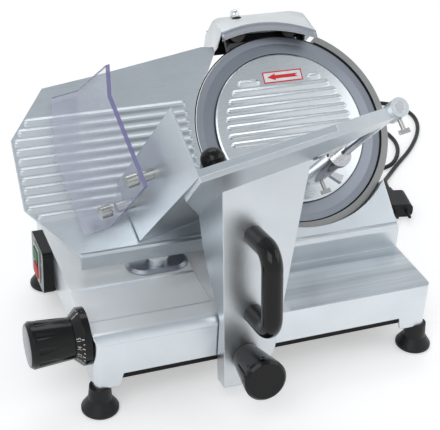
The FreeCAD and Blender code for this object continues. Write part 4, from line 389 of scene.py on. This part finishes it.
FAINT = 0.0000015
SHADES = {
    "cast_aluminium": casting("cast aluminium", (0.63, 0.665, 0.69)),
    # A paler copy of the cast aluminium for the base: painted light
    "base_aluminium_painted_light": casting("base aluminium painted light", (0.69, 0.73, 0.76)),
    "hood_aluminium": cast("hood aluminium", (0.74, 0.765, 0.77), 0.45, 900, 0.0012, 0.00005),
    "polished_aluminium": brushed("brushed aluminium", (0.57, 0.61, 0.64), 0.31, turn=BLADE_TURN,
                                  depth=FAINT),
    "cover_aluminium": brushed("cover aluminium", (0.66, 0.69, 0.71), 0.28, turn=BLADE_TURN, depth=FAINT),
    "ridge_aluminium": brushed("ridge aluminium", (0.54, 0.58, 0.605), 0.40, turn=BLADE_TURN,
                               depth=FAINT),
    "ring_grey": brushed("ring aluminium", (0.29, 0.29, 0.285), 0.46, 2, turn=BLADE_TURN),
    "blade_steel": ground_blade(),
    "sheet_steel": brushed("sheet steel", (0.50, 0.52, 0.54), 0.27),
    "satin_steel": brushed("satin steel", (0.34, 0.36, 0.40), 0.4, turn=BLADE_TURN),
    "bright_steel": brushed("bright steel", (0.74, 0.74, 0.75), 0.13, grain=500, depth=0.000006),
    "nut_steel": brushed("nut steel", (0.40, 0.40, 0.39), 0.28, grain=900, depth=0.00002),
    "chrome": brushed("chrome", (0.80, 0.80, 0.81), 0.07, grain=300, depth=0.000002),
    "bush_bronze": brushed("bush bronze", (0.58, 0.40, 0.20), 0.3),
    "black_rubber": moulded("black rubber", (0.010, 0.010, 0.011), 0.42, 1500, 0.00003, 0.0008,
                            Specular_IOR_Level=0.3),
    "black_plastic": moulded("black gloss plastic", (0.006, 0.006, 0.006), 0.13, edge=0.0009,
                             Specular_IOR_Level=0.28),
    "black_sheet": moulded("black paint", (0.008, 0.008, 0.009), 0.35, 900, 0.00002,
                           Specular_IOR_Level=0.15),
    "motor_paint": moulded("motor paint", (0.06, 0.065, 0.07), 0.4, 700, 0.00004),
    "clear_plastic": clear_sheet(nodes["clear_guard"]),
    "green_plastic": moulded("green button", (0.012, 0.14, 0.05), 0.4, Specular_IOR_Level=0.1),
    "red_plastic": moulded("red button", (0.60, 0.012, 0.015), 0.4, Specular_IOR_Level=0.1),
    "button_black": moulded("black button", (0.02, 0.02, 0.02), 0.4),
    "pale_plastic": moulded("pale plastic", (0.62, 0.66, 0.64), 0.35),
    "cap_grey": moulded("grey cap", (0.36, 0.38, 0.39), 0.3),
    "print_white": moulded("white print", (0.80, 0.80, 0.80), 0.5),
    "sign_white": moulded("white sign", (0.85, 0.85, 0.85), 0.4),
    "sign_red": moulded("red sign", (0.70, 0.02, 0.03), 0.4),
    # The grinding stones are dark grey, partly their own colour and partly painted shade for the hollow
    # of the hood
    "stone": moulded("grinding stone painted darker", (0.11, 0.105, 0.10), 0.85, 1800, 0.00012),
}


def dress(thing, shade):
    data = thing.data
    data.materials.clear()
    data.materials.append(shade.material)


# Each CAD node takes the shade of its slot in the record, or one that suits it better; the base casting's
# is a paler copy of the cast aluminium, which paints light on it
SLOT_OF = {row["node"]: row["material_slot"] for row in frame["record"]["subparts"]}
FINISH = {"base_casting": "base_aluminium_painted_light", "dust_cover": "satin_steel", "guard_nuts": "nut_steel",
          "guard_spacers": "nut_steel", "pusher_bush": "bright_steel", "pusher_thumbscrew": "nut_steel",
          "rod_thumbscrew": "nut_steel", "sharpener_body": "black_sheet"}
for name, thing in nodes.items():
    dress(thing, SHADES[FINISH.get(name, SLOT_OF[name])])
dress(mains_lead, SHADES["black_rubber"])


# Pieces that the castings carry and the frame's solids only hint at

def add_piece(name, mesh, body, slot, *shades, stands_for=()):
    """A new piece from a mesh or bmesh whose points are already in the part's frame."""
    if isinstance(mesh, bmesh.types.BMesh):
        bmesh.ops.remove_doubles(mesh, verts=mesh.verts, dist=0.00001)
        bmesh.ops.recalc_face_normals(mesh, faces=mesh.faces)
        form, mesh = mesh, bpy.data.meshes.new(name)
        form.to_mesh(mesh)
        form.free()
    for shade in shades:
        mesh.materials.append(SHADES[shade].material)
    piece = bpy.data.objects.new(name, mesh)
    bpy.context.scene.collection.objects.link(piece)
    mesh.shade_smooth()
    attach(piece, body)
    if stands_for:
        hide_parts(*stands_for)
    return piece


def flatten(piece):
    for face in piece.data.polygons:
        face.use_smooth = False


def grid(form, rows, closed=False, material=0):
    """Faces over rows of points, each row as long as the next."""
    lines = [[form.verts.new(point) for point in row] for row in rows]
    for near, far in zip(lines, lines[1:]):
        count = len(near)
        for i in range(count if closed else count - 1):
            j = (i + 1) % count
            face = form.faces.new((near[i], near[j], far[j], far[i]))
            face.material_index = material
    return lines


def lathe(form, profile, matrix, steps=48, material=0):
    """A turned form: the profile's radii and heights about a frame's z axis."""
    rows = []
    for radius, height in profile:
        rows.append([matrix @ (Vector((radius * math.cos(2 * math.pi * k / steps),
                                       radius * math.sin(2 * math.pi * k / steps), height)) * MM)
                     for k in range(steps)])
    grid(form, rows, closed=True, material=material)


def ridge(form, start, end, level, half, height, lift):
    """A long rounded ridge in the blade's plane that meets its plate softly."""
    ends, across, least = 6, 10, 0.05
    stations = []
    for i in range(ends + 1):
        angle = math.pi / 2 * i / ends
        stations.append((start + half * (1 - math.cos(angle)), max(math.sin(angle), least)))
    stations += [(start + end - x, scale) for x, scale in reversed(stations)]
    rows = []
    for x, scale in stations:
        row = []
        for j in range(across + 1):
            side = 2 * j / across - 1
            rise = (1 + math.cos(math.pi * side)) / 2
            row.append(blade_point(x, level + half * scale * side, lift + height * scale * rise))
        rows.append(row)
    grid(form, rows)


# The gauge plate's left outline in the blade's plane, from its top corner down, and its ridges
GAUGE_LEFT = [(-308, 90), (-357, 29), (-357, -58), (-301, -126)]
GAUGE_RIDGES = {"count": 11, "top": 48.6, "pitch": 11.9, "inset": 2.5, "end": -131.5, "half": 5.9,
                "height": 2.6}
# The cover plate's turned form, as radii and heights, and its ridges, of which the topmost is bare in
# the middle
COVER_PROFILE = [(0.1, 3.8), (97.6, 3.8), (100, 3.3), (100.8, 2.4), (100.8, 1.6), (98, 0.9), (0.1, 0.9)]
COVER_RIDGES = {"count": 8, "low": -15.2, "pitch": 11.4, "reach": 87, "bare": (-28, 39), "half": 5.6,
                "height": 2.3, "lift": 3.75}


def gauge_edge(level):
    """Where the gauge plate ends on the left, at a level in its plane."""
    for (high_x, high), (low_x, low) in zip(GAUGE_LEFT, GAUGE_LEFT[1:]):
        if level > low:
            return high_x + (high - level) * (low_x - high_x) / (high - low)


def make_ridges():
    own = GAUGE_RIDGES
    form = bmesh.new()
    for i in range(own["count"]):
        level = own["top"] - own["pitch"] * i
        ridge(form, gauge_edge(level) + own["inset"], own["end"], level, own["half"], own["height"], 0)
    add_piece("gauge_ridges", form, "gauge", "polished_aluminium", "ridge_aluminium")
    own = COVER_RIDGES
    form = bmesh.new()
    lathe(form, COVER_PROFILE, BLADE, 144)
    for i in range(own["count"]):
        level = own["low"] + own["pitch"] * i
        reach = math.sqrt(own["reach"] ** 2 - level ** 2)
        spans = [(-reach, reach)]
        if i == own["count"] - 1:
            spans = [(-reach, own["bare"][0]), (own["bare"][1], reach)]
        for start, end in spans:
            ridge(form, start, end, level, own["half"], own["height"], own["lift"])
    add_piece("ribbed_cover", form, "base", SLOT_OF["cover_plate"], "cover_aluminium",
              stands_for=("cover_plate",))


make_ridges()


def plate_piece(form, outline, low, high, material=0):
    """A flat piece in the blade's plane between two heights over it."""
    rows = [[blade_point(x, y, z) for x, y in outline] for z in (low, high)]
    lines = grid(form, rows, closed=True, material=material)
    form.faces.new(lines[1]).material_index = material


def make_sign():
    """A generic sign with an arrow for the blade's turn: a red board, a white field and a red arrow."""
    form = bmesh.new()
    left, right, low, high, edge = -22, 33, 61.2, 76.8, 1.6
    back, board, field, arrow = 3.7, 4.0, 4.08, 4.16
    plate_piece(form, [(left, low), (right, low), (right, high), (left, high)], back, board)
    plate_piece(form, [(left + edge, low + edge), (right - edge, low + edge), (right - edge, high - edge),
                       (left + edge, high - edge)], board, field, 1)
    middle = (low + high) / 2
    tip, neck, tail, notch = left + 5.5, left + 17, right - 6, 4
    head, shaft = 4.6, 2.3
    plate_piece(form, [(tip, middle), (neck, middle - head), (neck, middle - shaft),
                       (tail, middle - shaft), (tail - notch, middle), (tail, middle + shaft),
                       (neck, middle + shaft), (neck, middle + head)], field, arrow)
    flatten(add_piece("turn_arrow", form, "base", "polished_aluminium", "sign_red", "sign_white"))


make_sign()

# Inner and outer radius, and lower and upper height, of the black rings that paint the shade in the gaps
# round the cover plate and the blade
GAP_SHADE_RINGS = ((98.5, 101.5, 0.5, 2.2), (125.5, 127.1, -2.6, -1.2))


def make_seals():
    # Black rings that stand for the shade in the gaps: painted shade
    form = bmesh.new()
    for inner, outer, low, high in GAP_SHADE_RINGS:
        lathe(form, [(inner, low), (inner, high), (outer, high), (outer, low), (inner, low)], BLADE, 120)
    add_piece("gap_shade_rings", form, "base", "black_rubber", "black_rubber")


make_seals()

# The dial's frame, its z axis out to the left, and its sloping ring between two heights along it
DIAL = Matrix.Translation(base_point(-212.5, -106, 88)) @ Matrix.Rotation(math.radians(-90), 4, "Y")
CONE = {"low": 9, "high": 18, "wide": 33.5, "narrow": 25}
SCALE = {"marks": 31, "step": 10, "half_mark": 0.018, "mark_low": 9.6, "short": 10.9, "long": 12.2,
         "numbers_low": 13, "number_size": 5.6, "number_radius": 29, "lift": 0.12}


def cone_point(angle, height):
    """A point of the print on the dial's sloping ring, at an angle and a height along the dial's axis."""
    slope = (CONE["narrow"] - CONE["wide"]) / (CONE["high"] - CONE["low"])
    lift = SCALE["lift"]
    radius = CONE["wide"] + (height - CONE["low"]) * slope + lift
    return DIAL @ (Vector((radius * math.cos(angle), radius * math.sin(angle), height + lift)) * MM)


def add_number(form, number, angle):
    words = bpy.data.curves.new("number", "FONT")
    words.body, words.size, words.align_x, words.extrude = str(number), SCALE["number_size"], "CENTER", 0
    holder = bpy.data.objects.new("number", words)
    bpy.context.scene.collection.objects.link(holder)
    flat = bpy.data.meshes.new_from_object(holder)
    bpy.data.objects.remove(holder)
    spots = [form.verts.new(cone_point(angle + point.co.x / SCALE["number_radius"],
                                       SCALE["numbers_low"] + point.co.y)) for point in flat.vertices]
    for face in flat.polygons:
        form.faces.new([spots[k] for k in face.vertices])
    bpy.data.meshes.remove(flat)


def make_scale():
    """White numbers and ticks on the dial's sloping ring, and the cap in its grip."""
    form = bmesh.new()
    half, low = SCALE["half_mark"], SCALE["mark_low"]
    for i in range(SCALE["marks"]):
        angle = math.radians(SCALE["step"] * i)
        numbered = i % 2 == 0
        high = SCALE["long"] if numbered else SCALE["short"]
        corners = [(angle - half, low), (angle + half, low), (angle + half, high), (angle - half, high)]
        form.faces.new([form.verts.new(cone_point(*corner)) for corner in corners])
        if numbered:
            add_number(form, i // 2, angle)
    numbers = bpy.data.meshes.new("dial_numbers")
    form.to_mesh(numbers)
    form.free()
    add_piece("dial_numbers", numbers, "dial", "black_plastic", "print_white")
    form = bmesh.new()
    lathe(form, [(0.1, 69.4), (12, 69.2), (21, 68.6), (23.4, 67.6), (23.6, 66)], DIAL)
    add_piece("dial_cap", form, "dial", "black_plastic", "cap_grey")


make_scale()

# The sharpener's hood in the blade's frame. Its front band arches about a middle line, and its top falls
# off at two shoulders.
HOOD = {"left": -71, "right": 59, "front": 22, "back": -14, "steps": 32, "arch_middle": -18, "arch": 320,
        "shoulder_middle": -6, "shoulder": 48, "shoulder_reach": 17, "fall": 9, "band_top": 139.3,
        "band_low": 127.6, "rear": 165.5, "wall": 1.6}
# How deep the two cheeks reach, and where the black panels inside stand, which paint the shade in the
# hood's
# hollow ends: left, right and depth
HOOD_CHEEKS = (58, 40)
HOOD_SHADE_PANELS = ((-69.5, -49.5, 32), (49.5, 57.5, 22))
PANEL_LOW, PANEL_HIGH = 121, 156


def hood_row(x):
    """The hood's section at one place from left to right, from the band's lower edge over the top."""
    front, back = HOOD["front"], HOOD["back"]
    drop = (x - HOOD["arch_middle"]) ** 2 / HOOD["arch"]
    over = max(abs(x - HOOD["shoulder_middle"]) - HOOD["shoulder"], 0) / HOOD["shoulder_reach"]
    fall = HOOD["fall"] * over ** 2
    top, low = HOOD["band_top"] - drop, HOOD["band_low"] - drop
    rear, behind = HOOD["rear"] - fall, back + fall
    section = [(low, front - 2), (low, front), (top - 1.2, front), (top, front - 1),
               ((top + rear) / 2 + 1.5, (front + behind) / 2), (rear - 0.8, behind + 2),
               (rear - 1.4, behind), (rear - 12, behind - 2), (rear - 26, behind - 3)]
    return [blade_point(x, *spot) for spot in section]


def make_hood():
    """The sharpener's cast hood: an arched front band over the blade, a pale top and cheeks that fall
    back."""
    form = bmesh.new()
    left, width, steps = HOOD["left"], HOOD["right"] - HOOD["left"], HOOD["steps"]
    lines = grid(form, [hood_row(left + width * i / steps) for i in range(steps + 1)])
    for line, reach in zip((lines[0], lines[-1]), HOOD_CHEEKS):
        corner = BLADE.inverted() @ line[6].co / MM
        deep = [blade_point(corner.x, corner.y - drop, -depth) for drop, depth in
                ((3, reach - 22), (16, reach), (34, reach), (34, 7))]
        form.faces.new(line[3:7] + [form.verts.new(point) for point in deep])
    for face in form.faces:
        middle = BLADE.inverted() @ face.calc_center_median()
        face.material_index = 1 if middle.z > (HOOD["front"] - 0.7) * MM else 0
    # Black panels inside the hood's ends stand for the shade in its hollow: painted shade
    for start, end, depth in HOOD_SHADE_PANELS:
        corners = [blade_point(x, u, -depth) for x, u in
                   ((start, PANEL_LOW), (end, PANEL_LOW), (end, PANEL_HIGH), (start, PANEL_HIGH))]
        form.faces.new([form.verts.new(point) for point in corners]).material_index = 2
    hood = add_piece("hood_cover", form, "sharpener", SLOT_OF["sharpener_hood"], "hood_aluminium",
                     "satin_steel", "black_sheet", stands_for=("sharpener_hood",))
    shell = hood.modifiers.new("thickness", "SOLIDIFY")
    shell.thickness, shell.offset = HOOD["wall"] * MM, -1


make_hood()


def make_lift_knob():
    """Chrome dome on a short neck and a black collar, turned about an axis that points up the plane."""
    up = (BLADE @ Matrix.Translation(Vector((-36, 0, -6)) * MM)
          @ Matrix.Rotation(math.radians(-90), 4, "X"))
    form = bmesh.new()
    lathe(form, [(0.1, 154), (8.2, 154), (8.4, 156.5), (7.6, 158.4), (4.4, 158.6)], up, material=1)
    lathe(form, [(4.4, 158.4), (4.4, 160.5), (5.9, 161.5), (6.2, 164), (5.9, 167), (4.6, 169.6),
                 (2.4, 171), (0.1, 171.4)], up)
    add_piece("lift_dome", form, "lift_knob", SLOT_OF["sharpener_knob"], "chrome", "black_plastic",
              stands_for=("sharpener_knob",))


make_lift_knob()


def make_switch_frame():
    """The pale frame round the two buttons."""
    low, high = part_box("start_button")
    bottom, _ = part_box("stop_button")
    recess, depth, wide, narrow = 1.2 * MM, 3 * MM, 3.6 * MM, 0.6 * MM
    x = low[0] + recess

    def outline(margin):
        front, back, under, over = low[1] - margin, high[1] + margin, bottom[2] - margin, high[2] + margin
        return [(front, under), (back, under), (back, over), (front, over)]

    rows = [[Vector((place, y, z)) for y, z in outline(margin)] for place, margin in
            ((x + depth, wide), (x, wide), (x, narrow), (x + depth, narrow))]
    form = bmesh.new()
    grid(form, rows, closed=True)
    flatten(add_piece("switch_frame", form, "base", SLOT_OF["switch_housing"], "pale_plastic"))


make_switch_frame()


# Room: floor, pale background and soft lamps

def seen_rays(tree):
    """1 for rays from the camera, a mirror-like surface or through clear plastic, and 0 for the rest."""
    path = tree.nodes.new("ShaderNodeLightPath")
    total = path.outputs["Is Camera Ray"]
    for name in ("Is Glossy Ray", "Is Transmission Ray"):
        either = tree.nodes.new("ShaderNodeMath")
        either.operation = "MAXIMUM"
        tree.links.new(total, either.inputs[0])
        tree.links.new(path.outputs[name], either.inputs[1])
        total = either.outputs[0]
    return total


def make_floor():
    half, glow = 6, 0.42
    corners = [(-half, -half, 0), (half, -half, 0), (half, half, 0), (-half, half, 0)]
    mesh = bpy.data.meshes.new("floor")
    mesh.from_pydata(corners, [], [(0, 1, 2, 3)])
    floor = bpy.data.objects.new("floor", mesh)
    bpy.context.scene.collection.objects.link(floor)
    shade = Shade("pale floor", (0.82, 0.82, 0.82), 0.0, 0.8, Specular_IOR_Level=0.1)
    shade.vary_colour(shade.noise(shade.place, 3, 3), 0.01)
    shade.set("Emission Color", (1, 1, 1, 1))
    shade.feed(shade.spread(seen_rays(shade.tree), 0, glow, 0, 1), "Emission Strength")
    dress(floor, shade)


def make_world():
    """White at the horizon, greyer and a little cooler overhead."""
    world = bpy.data.worlds.new("studio")
    bpy.context.scene.world = world
    world.use_nodes = True
    tree = world.node_tree
    background = tree.nodes["Background"]
    where = tree.nodes.new("ShaderNodeTexCoord")
    parts = tree.nodes.new("ShaderNodeSeparateXYZ")
    tree.links.new(where.outputs["Generated"], parts.inputs[0])
    ramp = tree.nodes.new("ShaderNodeValToRGB")
    tree.links.new(parts.outputs["Z"], ramp.inputs["Fac"])
    ramp.color_ramp.elements[0].color = (1, 1, 1, 1)
    ramp.color_ramp.elements[1].color = (0.42, 0.45, 0.48, 1)
    middle = ramp.color_ramp.elements.new(0.55)
    middle.color = (0.80, 0.83, 0.86, 1)
    tree.links.new(ramp.outputs[0], background.inputs["Color"])
    strength = tree.nodes.new("ShaderNodeMapRange")
    tree.links.new(seen_rays(tree), strength.inputs["Value"])
    strength.inputs["To Min"].default_value = 0.6
    strength.inputs["To Max"].default_value = 1.0
    tree.links.new(strength.outputs[0], background.inputs["Strength"])


# Name, place, aim, size and power, in metres and watts
LAMPS = (("key", (-1.5, -1.7, 2.6), (0, 0, 0.15), (2.2, 2.2), 30),
         ("fill", (2.1, -0.8, 1.6), (0, 0, 0.15), (1.6, 1.6), 9),
         ("top", (0.1, 1.2, 2.4), (0, 0, 0.2), (2.0, 1.0), 12))


def make_lamp(name, place, aim, size, power):
    data = bpy.data.lights.new(name, "AREA")
    data.shape = "RECTANGLE"
    data.size, data.size_y = size
    data.energy = power
    lamp = bpy.data.objects.new(name, data)
    lamp.location = place
    lamp.rotation_euler = (Vector(aim) - Vector(place)).to_track_quat("-Z", "Y").to_euler()
    bpy.context.scene.collection.objects.link(lamp)


make_floor()
make_world()
for lamp in LAMPS:
    make_lamp(*lamp)

bpy.context.scene.view_settings.view_transform = "Standard"

bpy.context.view_layer.update()
